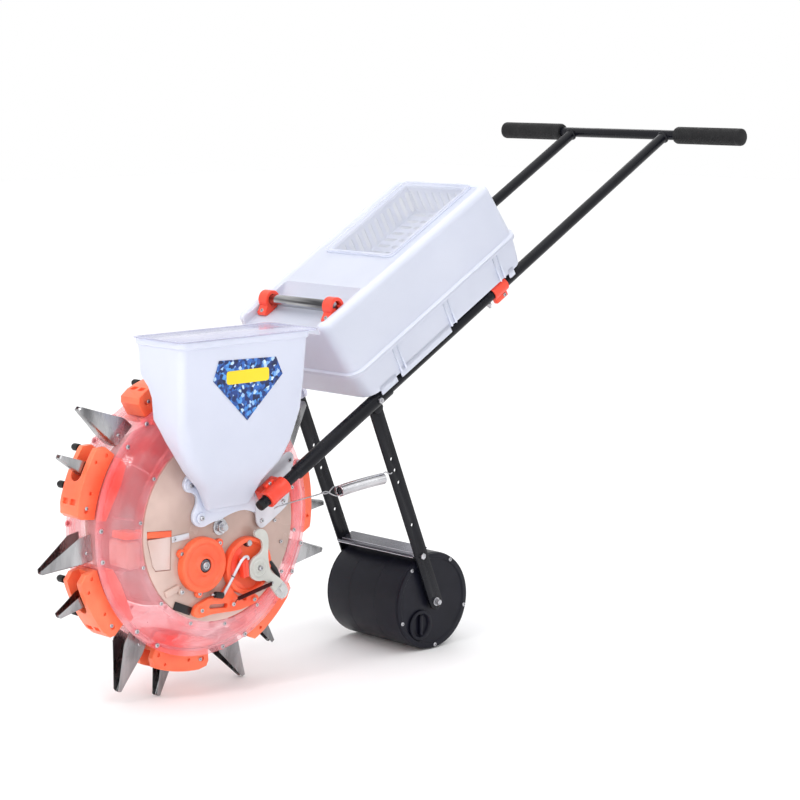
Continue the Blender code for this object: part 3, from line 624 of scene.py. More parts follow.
def make_side_plates():
    x, z = WHEEL.x - X0, WHEEL.z
    for side, sign in SIDES:
        plate = Solid()
        loops = [circle(x, z, 0.161, 96), circle(x, z, 0.0066, 24)]
        if sign > 0:
            loops.append(mm([(593.5, 302.5), (645, 307), (645.5, 290), (635.2, 247), (629, 237.8),
                             (597, 235.8)]))
        plate.plate(loops, 0.076, 0.08, "tan", upright(sign), 0.0006)
        ring = mm([(154.5, 75.8), (160.5, 75.8), (160.5, 73), (159, 72.5), (156, 72.5), (154.5, 73)])
        plate.lathe([(r, h * sign) for r, h in ring], WHEEL, Y, "tan", 96, closed=True)
        plate.done(f"cheek_plate_{side}", "frame", [f"side_plate_{side}"])
    axle = Solid()
    axle.rod((WHEEL.x, -0.0965, WHEEL.z), (WHEEL.x, 0.0965, WHEEL.z), 0.006, "zinc", 20)
    for sign in (1, -1):
        washer, nut, end = (WHEEL + Y * sign * y for y in (0.0804, 0.0822, 0.0905))
        axle.rod(washer, nut, 0.0145, "zinc", 32, 0.0003)
        axle.hexagon(nut, end, 0.0108, "zinc")
        for i in range(5):
            h = 0.0908 + i * 0.0011
            axle.lathe([(0.0055, h), (0.0064, h + 0.0004), (0.0055, h + 0.0008)], (WHEEL.x, 0, WHEEL.z),
                       (0, sign, 0), "zinc", 20)
    axle.done("axle_shaft", "frame", ["wheel_axle"])


# Height, x range, y range, corner radius
HOPPER = mm([
    (621, 350, 629, 28, 156, 14), (612, 350, 629, 28, 156, 14), (609, 353, 626, 31, 153, 13),
    (565, 358, 627, 36, 153, 13), (557, 359, 627, 41, 153, 13), (543, 360, 627, 57, 153, 13),
    (525, 362, 627, 66, 152, 13), (490, 367, 627, 69, 152, 14), (474, 370, 626, 80, 151, 18),
    (455, 375, 621, 86, 150, 22), (438, 382, 614, 93, 149, 22), (420, 392, 604, 96, 147, 22),
    (405, 402, 594, 97, 143, 20), (388, 418, 578, 96, 136, 18), (374, 430, 563, 96, 128, 16),
    (360, 434, 552, 95, 118, 11), (345, 438, 543, 93, 109, 8), (332, 444, 534, 92, 101, 6)])


def hopper_levels(inset):
    rings = []
    for z, x0, x1, y0, y1, r in HOPPER:
        loop = rounded(x0 + inset, x1 - inset, y0 + inset, y1 - inset, max(r - inset, 0.002), 7)
        rings.append([at(x, y, z) for x, y in loop])
    return rings


def make_hopper():
    hopper = Solid()
    inside = hopper_levels(0.0028)
    inside[0] = [p - Vector((0, 0, 0.0006)) for p in inside[0]]
    hopper.loft(hopper_levels(0) + inside[::-1], "milky", closed=True)
    neck = mm([
        (558, 396), (570, 384), (572.5, 374), (566, 363), (552, 361), (544, 352), (546, 338), (554, 326),
        (554.5, 313), (546, 303), (533, 300), (520, 304), (508, 307), (493.7, 308), (475.4, 315),
        (446, 319.4), (424, 312.5), (412, 306), (410, 322), (424, 372), (436, 392)])
    hopper.plate([smooth_outline(neck, 2)], 0.0806, 0.087, "milky", upright(), 0.0012)
    inner = mm([
        (546, 392), (545, 366), (536, 345), (530, 330), (512, 322.5), (494, 323.5), (470, 329), (446, 330),
        (437, 340), (437, 392)])
    hopper.plate([smooth_outline(inner, 2)], 0.0868, 0.093, "milky", upright(), 0.002, 3)
    for x, z in ((0.5587, 0.3746), (0.5376, 0.3165)):
        hopper.stud(x, z, 0.0868, 0.0905, 0.0095, "milky", 24, 0.001)
        hopper.screw(at(x, 0.0905, z), Y, 0.0044)
    hopper.done("hopper_shell", "frame", ["seed_hopper"], 40)
    lid = Solid()
    low = 0.6214
    lid.plate([rounded(0.332, 0.632, 0.027, 0.157, 0.012)], low, low + 0.0012, "clear_lavender",
              Matrix.Translation((X0, 0, 0)), 0.0004)
    lid.plate([rounded(0.332, 0.632, 0.027, 0.157, 0.012), rounded(0.338, 0.626, 0.033, 0.151, 0.008)],
              low + 0.0012, low + 0.002, "clear_lavender", Matrix.Translation((X0, 0, 0)), 0.0003)
    lid.done("hopper_cover", "hopper_lid", ["hopper_lid"])


def hopper_face(z):
    """Y of the hopper's left wall at a height."""
    for a, b in zip(HOPPER[2:], HOPPER[3:]):
        if b[0] <= z <= a[0]:
            return a[4] + (b[4] - a[4]) * (a[0] - z) / (a[0] - b[0])
    return HOPPER[2][4]


def make_label():
    """Plain sticker on the hopper's left wall, with a plain band."""
    shape = mm([(550, 587), (427.5, 583.5), (413.6, 554), (490.1, 483.4), (562.5, 554.5)])
    band = rounded(0.4435, 0.5345, 0.546, 0.568, 0.005, 4)
    sticker = Solid()
    for outline, look, lift in ((shape, "label", 0.0003), (band, "yellow", 0.0006)):
        part = bmesh.new()
        fill(part, [outline], 0, 0.0003)
        part.transform(upright())
        for v in part.verts:
            v.co.y += hopper_face(v.co.z) + lift
        sticker.take(part, look)
    sticker.done("hopper_sticker", "frame")


def make_meter():
    face = PLATE_FACE + GAP
    centre = at(METER_X, face, METER_Z)
    cover = Solid()
    cover.lathe(mm([
        (11.8, 14), (11.8, 16.6), (12.6, 17.4), (15.2, 17.4), (16.8, 16.2), (18.8, 12.6), (21.2, 11.2),
        (33.6, 10.8), (36, 11.8), (37.8, 14.2), (39.2, 14.8), (44, 14.8), (46.2, 12.8), (47.2, 9), (47.2, 0),
        (44, 0), (44, 8), (29, 8.5), (20, 9.8)]), centre, Y, "orange", 64, closed=True)
    for angle, reach in ((30, 0.049), (141, 0.05), (277, 0.049)):
        spot = centre + Vector((reach * cos(radians(angle)), 0, reach * sin(radians(angle))))
        cover.rod(spot, spot + Y * 0.0065, 0.0075, "orange", 24, 0.0008)
        cover.screw(spot + Y * 0.0065, Y, 0.0036)
    cover.done("meter_shell", "frame", ["meter_cover"])
    hub = Solid()
    hub.lathe(mm([
        (0, 15), (4.2, 15), (4.6, 16.5), (6, 16.8), (9.2, 16.8), (10.2, 16), (10.4, 10), (18, 7.8), (38, 7),
        (38, 1.2), (0, 1.2)]), centre, Y, "sheet", 32)
    hub.lathe(mm([(4, 16), (4, 18.6), (6.2, 18.6), (6.8, 17.6), (6.8, 16)]), centre, Y, "zinc", 28,
              closed=True)
    hub.hexagon(centre + Y * 0.015, centre + Y * 0.018, 0.0034, "zinc")
    hub.done("meter_hub", "meter_rotor", ["meter_rotor"])


def helix(points, radius, turns, wire, per_turn=10):
    """Points of a coil whose axis follows a smooth path, drawn the wire's radius inside the coil's radius.
    """
    points = [Vector(p) for p in points]
    lengths = [0.0]
    for a, b in zip(points, points[1:]):
        lengths.append(lengths[-1] + (b - a).length)
    made = []
    count = int(turns * per_turn)
    side = (points[1] - points[0]).orthogonal().normalized()
    k = 0
    for i in range(count + 1):
        reach = lengths[-1] * i / count
        while k < len(points) - 2 and lengths[k + 1] < reach:
            k += 1
        share = (reach - lengths[k]) / (lengths[k + 1] - lengths[k])
        centre = points[k].lerp(points[k + 1], share)
        ahead = (points[k + 1] - points[k]).normalized()
        side = (side - ahead * side.dot(ahead)).normalized()
        a = 2 * pi * i / per_turn
        made.append(centre + (side * cos(a) + ahead.cross(side) * sin(a)) * (radius - wire))
    return made


def make_feed_housing():
    face = PLATE_FACE + GAP
    x, z = HOUSING_X, HOUSING_Z
    housing = Solid()
    housing.lathe(mm([
        (0, 5), (38.5, 5), (40.5, 6), (41.5, 12.5), (42.5, 13.6), (47.5, 13.6), (49, 12.5), (49.5, 10.5),
        (49.5, 0), (0, 0)]), at(x, face, z), Y, "orange", 64)
    crescent = arc_points(x, z, 0.0405, radians(-20), radians(62), 16)
    crescent += arc_points(x, z, 0.028, radians(62), radians(-20), 12)
    housing.plate([crescent], face + 0.0048, face + 0.012, "red", upright(), 0.0012)
    housing.stud(LEVER_X, LEVER_Z, face + 0.004, 0.106, 0.004, "zinc", 20)
    housing.screw(at(LEVER_X, 0.106, LEVER_Z), Y, 0.004)
    housing.stud(0.438, 0.261, face + 0.004, face + 0.011, 0.007, "dark_plastic_and_shade", 24)
    housing.stud(0.438, 0.261, face + 0.011, face + 0.015, 0.0055, "zinc", 24, 0.0012)
    housing.box((0.013, 0.012, 0.034), at(0.4545, 0.0985, 0.222), "red", leaning(4), 0.002)
    housing.box((0.004, 0.014, 0.03), at(0.4545, 0.0985, 0.222), "red", leaning(4), 0.001)
    housing.stud(0.4545, 0.222, face + 0.004, 0.0935, 0.006, "red", 20)
    base = mm([
        (558, 160), (552, 168), (540, 173), (520, 179), (498, 178), (484, 190), (472, 206), (456, 196),
        (440, 180), (424, 171), (414, 164), (418, 155), (440, 150), (458, 147), (500, 149), (522, 150),
        (545, 147), (555, 151)])
    slot = capsule((0.446, 0.166), (0.466, 0.183), 0.0045)
    long_slot = capsule((0.488, 0.16), (0.52, 0.163), 0.004)
    housing.plate([smooth_outline(base, 2), slot, long_slot], face, face + 0.0095, "orange", upright(),
                  0.0012)
    for px, pz in mm([(541, 160), (472.5, 160), (426, 161)]):
        housing.stud(px, pz, face + 0.009, face + 0.0112, 0.0058, "orange", 20)
        housing.screw(at(px, face + 0.0112, pz), Y, 0.0036)
    housing.done("feed_casing", "frame", ["feed_housing"])
    crank = Solid()
    bend = spots([
        (450.5, 105, 237), (453, 106.5, 242), (460, 107, 243), (468, 106, 235), (474, 104, 224),
        (481, 101, 210), (488, 97, 195), (494, 93.5, 183), (497, 91, 176)])
    crank.sweep(smooth_path(bend, 2), 0.0025, "light_plate", 12)
    clip = at(0.481, 0.101, 0.211)
    heading = at(0.488, 0.097, 0.195) - at(0.474, 0.104, 0.224)
    ring = mm([(2.6, -0.8), (3.6, -0.8), (3.6, 0.8), (2.6, 0.8)])
    crank.lathe(ring, clip, heading, "dark_plastic_and_shade", 16, closed=True)
    crank.rod(at(0.499, 0.095, 0.18), at(0.516, 0.095, 0.184), 0.0056, "dark_plastic_and_shade", 24, 0.0012)
    crank.rod(at(0.516, 0.095, 0.184), at(0.524, 0.095, 0.1858), 0.0022, "zinc", 12)
    crank.done("feed_crank", "frame")
    boot = Solid()
    boot.sweep(spots([(395, 90.5, 225), (390.5, 90.5, 220), (379, 90.5, 206), (372, 90.5, 196),
                      (369, 90.5, 190)]), [0.003, 0.0046, 0.005, 0.0036, 0.0024], "dark_plastic_and_shade", 16)
    boot.done("feed_boot", "frame")


def make_feed_lever():
    outline = mm([
        (403.5, 233), (402.5, 250), (402, 264), (405.5, 276), (414, 283.5), (426, 284), (433.5, 279),
        (431, 271.2), (419.5, 266.5), (415, 258), (415.5, 247), (423.5, 240), (435, 236.5), (444, 227),
        (445.5, 212), (440, 202), (432, 196), (422, 193.5), (412, 194), (404, 189), (394, 176), (385, 164),
        (377, 156), (366, 155), (358, 163), (360, 174), (370, 186), (383, 197), (396, 205), (400.5, 215)])
    lever = Solid()
    hole = circle(LEVER_X, LEVER_Z, 0.0044, 20)
    lever.plate([smooth_outline(outline, 2), hole], 0.0969, 0.102, "grey_green", upright(), 0.0009)
    lever.lathe(mm([
        (4.6, 101.8), (4.6, 103.4), (7.8, 103.4), (8.4, 102.6), (12, 102.6), (12.8, 103.4), (15, 103.4),
        (15.8, 102.6), (18, 101.8)]), at(LEVER_X, 0, LEVER_Z), Y, "grey_green", 40, closed=True)
    leg_turn = leaning(38)
    lever.box((0.028, 0.0042, 0.022), at(0.3715, 0.104, 0.1705), "clear_white", leg_turn, 0.0016)
    lever.box((0.01, 0.003, 0.01), at(0.374, 0.1036, 0.174), "grey_green", leg_turn, 0.001)
    lever.stud(0.398, 0.188, 0.1018, 0.1085, 0.002, "zinc", 12)
    lever.done("feed_arm", "feed_lever", ["feed_lever"])
    spring = Solid()
    a, b = at(0.4, 0.1065, 0.1865), at(0.469, 0.1, 0.1705)
    spring.sweep(helix([a, b], 0.0036, 34, 0.0008, 8), 0.0009, "red_wire", 6)
    spring.sweep([at(0.398, 0.1068, 0.19), at(0.3965, 0.1068, 0.1875), a], 0.0008, "red_wire", 6)
    spring.sweep([b, at(0.4715, 0.0985, 0.168), at(0.4735, 0.0975, 0.164)], 0.0008, "red_wire", 6)
    piece = spring.done("feed_spring", None)
    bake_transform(piece)


def make_plate_trim():
    """Small parts on the left side plate: post, bracket, and the orange guide over the seed chute."""
    trim = Solid()
    face = PLATE_FACE + GAP
    trim.stud(0.579, 0.197, face, face + 0.006, 0.006, "tan", 20)
    trim.screw(at(0.579, face + 0.006, 0.197), Y, 0.004)
    trim.box((0.03, 0.0045, 0.011), at(0.597, face + 0.0022, 0.2005), "tan", leaning(16), 0.001)
    trim.box((0.036, 0.0022, 0.01), at(0.577, face + 0.0011, 0.288), "light_plate", leaning(3), 0.0006)
    trim.screw(at(0.59, face + 0.0022, 0.2875), Y, 0.0036)
    trim.box((0.038, 0.0024, 0.014), at(0.575, face + 0.0012, 0.1675), "dark_plastic_and_shade", leaning(-24), 0.0006)
    for x, z in mm([(513.5, 151.5), (500, 149), (370, 289), (356, 250)]):
        trim.screw(at(x, face, z), Y, 0.0034)
    trim.done("plate_trim", "frame")
    guide = Solid()
    guide.box((0.052, 0.034, 0.011), at(0.618, 0.062, 0.2985), "orange", leaning(-5), 0.0015)
    guide.box((0.034, 0.036, 0.012), at(0.658, 0.042, 0.299), "orange", leaning(-5), 0.0015)
    guide.done("chute_guide", "frame")
    chute = Solid()
    outline = mm([(595, 292), (644, 292), (634, 248), (628, 239), (598, 237)])
    within = mm([(597, 290.5), (642, 290.5), (632.2, 249), (627, 240.8), (599.5, 239)])
    chute.plate([outline, within], 0.015, 0.0772, "chute", upright(), 0.0005)
    chute.plate([outline], 0.0772, 0.079, "chute", upright(), 0.0006)
    chute.plate([mm([(599, 290), (618, 290), (612, 240), (601, 240)])], 0.02, 0.076, "milky", upright(),
                0.0006)
    for x0, x1, y1, z0, z1 in ((0.646, 0.674, 0.062, 0.244, 0.29), (0.656, 0.664, 0.06, 0.248, 0.286)):
        chute.plate([rounded(x0, x1, z0, z1, 0.008, 5)], 0.015, y1, "chute", upright(), 0.001)
    chute.done("chute_cup", "frame", ["seed_chute"])


# ---------------------------------------------------------------- seed wheel

def wheel_point(radius, angle, y=0.0):
    return WHEEL + Vector((radius * cos(angle), y, radius * sin(angle)))


def make_drum():
    rim = Solid()
    rim.lathe(mm([
        (219, 37.5), (220, 37), (220, 34), (219, 33.5), (219, 2.5), (219.8, 1.8), (219.8, -1.8), (219, -2.5),
        (219, -33.5), (220, -34), (220, -37), (219, -37.5), (215.2, -37.5), (215.2, -1.8), (20, -1.5),
        (18, -22), (6.6, -22), (6.6, 3), (18, 3), (20, 1.5), (215.2, 1.8), (215.2, 37.5)]), WHEEL, Y,
              "clear_rim", 112, closed=True)
    rim.done("wheel_rim", "drum", ["drum_rim"])
    outer = mm([
        (163.5, 79.2), (164.3, 80), (173.5, 80), (175, 79.4), (176.5, 76.5), (177.5, 74.5), (179, 73.8),
        (188, 72.2), (190, 71.4), (192, 69), (193.5, 68.4), (199, 65), (201, 63.2), (202.5, 59.8),
        (204, 58.8), (208, 54), (209.5, 50.5), (211, 49.2), (215, 47.8), (216.8, 46.6), (218, 43.2),
        (219.5, 42.2), (227.2, 41.8), (228, 41.2), (228, 38.8)])
    inner = mm([
        (212, 38.4), (208, 45), (204, 52), (199, 60), (193.5, 65), (187, 69), (178, 71), (174.5, 73),
        (173, 77), (163.5, 77.2)])
    for side, sign in SIDES:
        cover = Solid()
        cover.lathe(outer + inner, WHEEL, (0, sign, 0), "clear_pink", 112, closed=True)
        for i in range(2 * BEAKS):
            a = FLAP_PHASE + radians(-23 if i % 2 else 15) - 2 * pi / BEAKS * (i // 2)
            spot = wheel_point(0.2215, a, sign * 0.0418)
            cover.rod(spot, spot + Vector((0, sign * 0.004, 0)), 0.0062, "clear_pink", 18)
            cover.screw(spot + Vector((0, sign * 0.004, 0)), (0, sign, 0), 0.0042)
        for i in range(2 * BEAKS):
            a = FLAP_PHASE + radians(8) - pi / BEAKS * i
            cover.screw(wheel_point(0.169, a, sign * 0.08), (0, sign, 0), 0.0034)
            ridge = mm([(179, 73.8), (196, 66), (206, 53.8)])
            cover.sweep([wheel_point(r, a + 0.02, sign * y) for r, y in ridge], 0.0018, "clear_rim", 8)
        cover.done(f"wheel_cover_{side}", "drum", [f"drum_cover_{side}"], 20)
    cups = Solid()
    for i in range(BEAKS):
        middle = FLAP_PHASE - 2 * pi / BEAKS * i
        for y0, y1 in ((0.003, 0.037), (-0.037, -0.003)):
            low, high = middle + radians(-19), middle + radians(10)
            shape = arc_points(0, 0, 0.2146, low, high, 10)
            shape += [polar(0.1985, high - 0.02), polar(0.192, middle), polar(0.206, low)]
            place = Matrix.Translation(WHEEL) @ ON_EDGE
            cups.plate([shape], y0, y1, "orange", place, 0.0008)
    cups.done("wheel_cups", "drum")


def holder_mesh():
    """One beak holder, its flap pointing along +X, its place at the wheel's middle."""
    low, high = radians(-19), radians(10.5)
    outline = arc_points(0, 0, RIM_R + 0.0012, low, high, 10)
    outline += [polar(0.244, high), polar(0.2575, high - radians(2.5))]
    outline += arc_points(0, 0, 0.258, high - radians(4), low + radians(5), 8)
    outline += [polar(0.2545, low + radians(1.2)), polar(0.246, low)]
    body = Solid()
    body.plate([outline], -0.025, 0.025, "orange_pale", ON_EDGE, 0.0016, 3)
    base = put(body.mesh("holder"), "holder")
    cutters = []
    notch = Solid()
    round_end = capsule((-0.0115, 0), (0.09, 0), 0.0132, 12)
    notch.plate([[(b, a) for a, b in round_end]], 0.2275, 0.27, "orange", ACROSS, 0)
    cutters.append(put(notch.mesh("notch"), "notch"))
    bores = ((0.24, -15.5, 0.0045), (0.238, -8.5, 0.0032), (0.248, 3.5, 0.003), (0.235, 8.0, 0.0036))
    for r, angle, radius in bores:
        bore = Solid()
        x, z = polar(r, radians(angle))
        bore.rod((x, -0.03, z), (x, -0.0215, z), radius, "orange", 20, 0)
        bore.rod((x, 0.0215, z), (x, 0.03, z), radius, "orange", 20, 0)
        cutters.append(put(bore.mesh("bore"), "bore"))
    for sign in (1, -1):
        pocket = Solid()
        x, z = polar(0.258, radians(-13))
        pocket.box((0.01, 0.014, 0.01), (x, sign * 0.01, z), "orange", leaning(13), 0.001)
        cutters.append(put(pocket.mesh("pocket"), "pocket"))
    return carved(base, cutters, "orange_pale", 30)


def u_section(w, h, wall):
    """Section in (y, z) of a folded beak, w and h either way: a back with two sides, open to +Z."""
    r = min(0.0035, w * 0.5, h * 0.8)
    outside = [(w, h)] + arc_points(w - r, -h + r, r, 0, -pi / 2, 3)
    outside += arc_points(-w + r, -h + r, r, -pi / 2, -pi, 3) + [(-w, h)]
    wi = max(w - wall, 0.0003)
    hi = -h + wall
    ri = max(r - wall, 0.0004)
    inside = [(-wi, h)] + arc_points(-wi + ri, hi + ri, ri, -pi, -pi / 2, 3)
    inside += arc_points(wi - ri, hi + ri, ri, -pi / 2, 0, 3) + [(wi, h)]
    return outside + inside


def beak_mesh(length, root, tip, lean, name):
    """A folded steel beak along local X, from its root at the origin; sizes are (width, depth)."""
    stations = [(0, 1.0, 0), (0.2, 1.0, 0.08), (0.24, 0.985, 0.1)]
    stations += [(0.24 + 0.74 * i / 8, 1 - (i / 8) ** 0.95, 0.1 + 0.9 * i / 8) for i in range(1, 9)]
    rings = []
    for along, share, drift in stations:
        w = (tip[0] + (root[0] - tip[0]) * share) / 2
        h = (tip[1] + (root[1] - tip[1]) * share) / 2
        rings.append([(along * length, y, z + lean * drift) for y, z in u_section(w, h, 0.0014)])
    w, h = tip[0] / 2 * 0.62, tip[1] / 2 * 0.6
    rings.append([(length, y, z + lean) for y, z in u_section(w, h, 0.0008)])
    beak = Solid()
    beak.loft(rings, "steel")
    return beak.mesh(name, 28)


def turned_copy(mesh, angle, offset=0.0):
    """A mesh of the wheel's frame turned to an angle, after a shift along its own X."""
    copy = mesh.copy()
    turn = Matrix.Rotation(-angle, 4, "Y")
    copy.transform(Matrix.Translation(WHEEL) @ turn @ Matrix.Translation((offset, 0, 0)))
    return copy


def make_beaks():
    holder = holder_mesh()
    flap = beak_mesh(0.0668, (0.023, 0.0236), (0.015, 0.008), 0.0, "flap")
    opener_root = RIM_R + 0.0012
    tip_x, tip_z = polar(0.315, -OPENER_LEAN)
    opener = beak_mesh(tip_x - opener_root, (0.034, 0.046), (0.015, 0.0085), tip_z, "opener")
    step = 2 * pi / BEAKS
    for i in range(BEAKS):
        angle = FLAP_PHASE - step * i
        k = i + 1
        put(smoothed(turned_copy(holder, angle), 30), f"holder_{k}", "drum",
            [f"beak_holder_{k}"])
        put(smoothed(turned_copy(flap, angle, 0.2372), 28), f"flap_sheet_{k}", f"flap_{k}",
            [f"beak_flap_{k}"])
        lean_angle = OPENER_PHASE + OPENER_LEAN - step * i
        put(smoothed(turned_copy(opener, lean_angle, opener_root), 28), f"opener_sheet_{k}", "drum",
            [f"opener_{k}"])
    pins = Solid()
    for i in range(BEAKS):
        middle = FLAP_PHASE - step * i
        for turn, r, sign in ((7.5, 0.252, -1), (-7.5, 0.252, -1), (-14.5, 0.24, 1)):
            a = middle + radians(turn)
            base = wheel_point(r, a, sign * 0.0252)
            if sign < 0:
                pins.rod(base, base + Y * sign * 0.004, 0.003, "zinc", 14)
                cap = mm([(0, 0), (5.6, 0), (6.2, 0.8), (6.2, 13), (5, 15.6), (0, 16.4)])
                pins.lathe(cap, base + Y * sign * 0.0035, (0, sign, 0), "rubber", 20)
            else:
                pins.screw(base, (0, sign, 0), 0.0034)
        for sign in (1, -1):
            root = wheel_point(0.23, OPENER_PHASE + radians(2.5) - step * i, 0.0172 * sign)
            pins.screw(root, (0, sign, 0), 0.0034)
    pins.done("wheel_pins", "drum")


# ---------------------------------------------------------------- fertiliser box

def box_rings(levels):
    """Rings of the box: each level is (n, back, front, half width, corner radius)."""
    rings = []
    for n, back, front, half, r in levels:
        rings.append([frame_point(s, n, y) for s, y in rounded(back, front, -half, half, r, 7)])
    return rings


# Height above the tubes, back, front, half width, corner radius
COVER = mm([
    (74.4, 460, 930, 142.5, 30), (77, 460, 930, 142.5, 30), (78.2, 461.2, 929, 141.2, 29),
    (80, 464, 926.2, 137.2, 27), (165, 465.5, 929, 121, 20), (173, 466.5, 929.5, 118.8, 18),
    (177.8, 469.5, 927, 115.5, 16), (179.8, 474, 922.5, 111, 14), (180, 478, 919, 107.5, 12),
    (179.6, 480, 917, 105.6, 11), (177.6, 481.5, 915.5, 103.6, 11), (177, 485, 912, 100, 10)])


def make_cover():
    outer, inner, cuts = Solid(), Solid(), []
    outer.loft(box_rings(COVER), "milky")
    shell = put(outer.mesh("cover"), "cover")
    drops = (0.01, 0, 0, WALL, 2.2 * WALL, 2.2 * WALL)
    inside = []
    for (n, back, front, half, r), drop in zip(COVER[:1] + COVER[3:8], drops):
        inside.append((n - drop, back + WALL, front - WALL, half - WALL, max(r - WALL, 0.004)))
    inner.loft(box_rings(inside), "milky")
    hollow = put(inner.mesh("hollow"), "hollow")
    for name, grow in (("bay_wall", WALL), ("bay", 0.0)):
        bay = Solid()
        low = 0.1611 - grow
        profile = [(0.806 - grow, 0.186), (0.809 - grow, 0.1755 - grow), (0.826 - grow, low + 0.002),
                   (0.834 - grow, low), (0.96, low), (0.96, 0.23), (0.806 - grow, 0.23)]
        bay.plate([profile], -0.098 - grow, 0.098 + grow, "milky", FRAME_PLACE @ SIDEWAYS, 0.004, 3)
        cuts.append(put(bay.mesh(name), name))
    hollow = put(carved(hollow, [cuts[0]], "milky"), "hollow")
    window = Solid()
    window.plate([rounded(0.484, 0.708, -0.08, 0.08, 0.008)], 0.15, 0.2, "milky", FRAME_PLACE, 0)
    cuts.append(put(window.mesh("window"), "window"))
    made = carved(shell, [cuts[1], hollow, cuts[2]], "milky", 38)
    put(made, "box_cover_shell", "frame", ["box_cover"])


def make_tray():
    levels = mm([
        (74, 460, 930, 142.5, 30), (70, 460, 930, 142.5, 30), (69, 461.2, 929, 141.2, 29),
        (67.5, 463.5, 925, 138.5, 28), (30, 466.8, 916, 135.8, 28), (17.5, 469, 911, 134, 27),
        (14, 476, 904, 129, 24), (13.5, 486, 894, 122, 20)])
    lifts = (-0.0006, 0, 0, 0, 0, WALL, WALL, WALL)
    inside = []
    for (n, back, front, half, r), lift in zip(levels, lifts):
        inside.append((n + lift, back + WALL, front - WALL, half - WALL, r - WALL))
    tray = Solid()
    tray.loft(box_rings(levels)[::-1] + box_rings(inside), "milky")
    for s in (0.535, 0.68, 0.823):
        for sign in (1, -1):
            for shift in (-0.006, 0.006):
                tray.box((0.0035, 0.003, 0.05), FRAME_PLACE @ Vector((s + shift, sign * 0.1378, 0.043)),
                         "milky", FRAME_AXES, 0.001)
    for sign in (1, -1):
        for s0, s1 in mm([(500, 515), (688, 830), (842, 885)]):
            tray.box((s1 - s0, 0.003, 0.018), FRAME_PLACE @ Vector(((s0 + s1) / 2, sign * 0.1335, 0.016)),
                     "milky", FRAME_AXES, 0.0012)
    tray.done("box_tray_shell", "frame", ["box_tray"], 38)


def make_window():
    lid = Solid()
    low = 0.1804
    edge = rounded(0.478, 0.714, -0.086, 0.086, 0.01)
    lid.plate([edge], low, low + 0.0014, "clear_white", FRAME_PLACE, 0.0005)
    lid.plate([edge, rounded(0.482, 0.71, -0.082, 0.082, 0.008)], low + 0.0014, low + 0.0028, "clear_white",
              FRAME_PLACE, 0.0005)
    lid.done("window_pane", "window_lid", ["window_lid"])
    basket = Solid()
    top, deep = 0.1765, 0.055
    floor_n = top - deep
    s0, s1, half = 0.487, 0.705, 0.077
    walls = ((s1 - s0, ON_EDGE, (s0, -half, 0)), (s1 - s0, ON_EDGE, (s0, half - 0.002, 0)),
             (2 * half, ACROSS, (s0, -half, 0)), (2 * half, ACROSS, (s1 - 0.002, -half, 0)))
    for wide, turn, corner in walls:
        count = int(wide / 0.018)
        holes = [capsule((wide * (i + 0.5) / count, floor_n + 0.01), (wide * (i + 0.5) / count, top - 0.012),
                         0.0048, 6) for i in range(count)]
        place = FRAME_PLACE @ Matrix.Translation(corner) @ turn
        basket.plate([[(0, floor_n), (wide, floor_n), (wide, top), (0, top)]] + holes, 0, 0.002, "milky",
                     place, 0)
    slots = []
    for i in range(10):
        for j in range(4):
            s, y = s0 + 0.014 + i * 0.0212, -half + 0.02 + j * 0.038
            slots.append(capsule((s, y - 0.0115), (s, y + 0.0115), 0.0045, 6))
    basket.plate([[(s0, -half), (s1, -half), (s1, half), (s0, half)]] + slots, floor_n, floor_n + 0.002,
                 "milky", FRAME_PLACE, 0)
    basket.plate([rounded(0.48, 0.714, -0.087, 0.087, 0.01), rounded(0.487, 0.705, -0.077, 0.077, 0.006)],
                 0.1746, 0.18, "milky", FRAME_PLACE, 0.001)
    basket.done("box_basket", "frame")


def make_cross_bar():
    s, n = 0.87, 0.179
    bar = Solid()
    bar.rod(frame_point(s, n, -0.09), frame_point(s, n, 0.09), 0.01, "bar_chrome", 36, 0.001)
    bar.done("bar_tube", "frame", ["cross_bar"])
    for side, sign in SIDES:
        y = sign * 0.084
        clamp = Solid()
        ring = mm([(10.4, -11), (15.5, -11), (16.5, -10), (16.5, 10), (15.5, 11), (10.4, 11)])
        clamp.lathe(ring, frame_point(s, n, y), Y, "red", 32, closed=True)
        foot = mm([(4, -17.5), (26, -17.5), (29, -15), (28, -10), (19, -4.5), (14, 0), (4, 0)])
        place = Matrix.Translation(frame_point(s, n)) @ FRAME_AXES @ SIDEWAYS
        clamp.plate([foot], -y - 0.0105, -y + 0.0105, "red", place, 0.0012)
        back = mm([(-4, -17.5), (-20, -15), (-22, -10), (-13, -4), (-4, 0)])
        clamp.plate([back], -y - 0.0095, -y + 0.0095, "red", place, 0.0012)
        tilt = (ALONG * 0.45 + ABOVE * 0.9).normalized()
        clamp.screw(frame_point(s + 0.0235, n - 0.0085, y), tilt, 0.004)
        clamp.done(f"bar_saddle_{side}", "frame", [f"bar_clamp_{side}"])
    for side, sign in SIDES:
        rear = Solid()
        y = sign * TUBE_Y
        rear.lathe(mm([(10.3, 522), (12.6, 522), (13.2, 522.8), (13.2, 559.2), (12.6, 560), (10.3, 560)]),
                   frame_point(0, 0, y), ALONG, "red", 28, closed=True)
        rear.box((0.032, 0.01, 0.012), frame_point(0.541, -0.0165, y), "red", FRAME_AXES, 0.002)
        rear.screw(frame_point(0.534, -0.0165, y + sign * 0.005), (0, sign, 0), 0.0038)
        rear.hexagon(frame_point(0.573, -0.01, y), frame_point(0.573, -0.015, y), 0.0052, "zinc")
        rear.rod(frame_point(0.573, -0.015, y), frame_point(0.573, -0.02, y), 0.0026, "zinc", 12)
        rear.done(f"box_saddle_{side}", "frame")


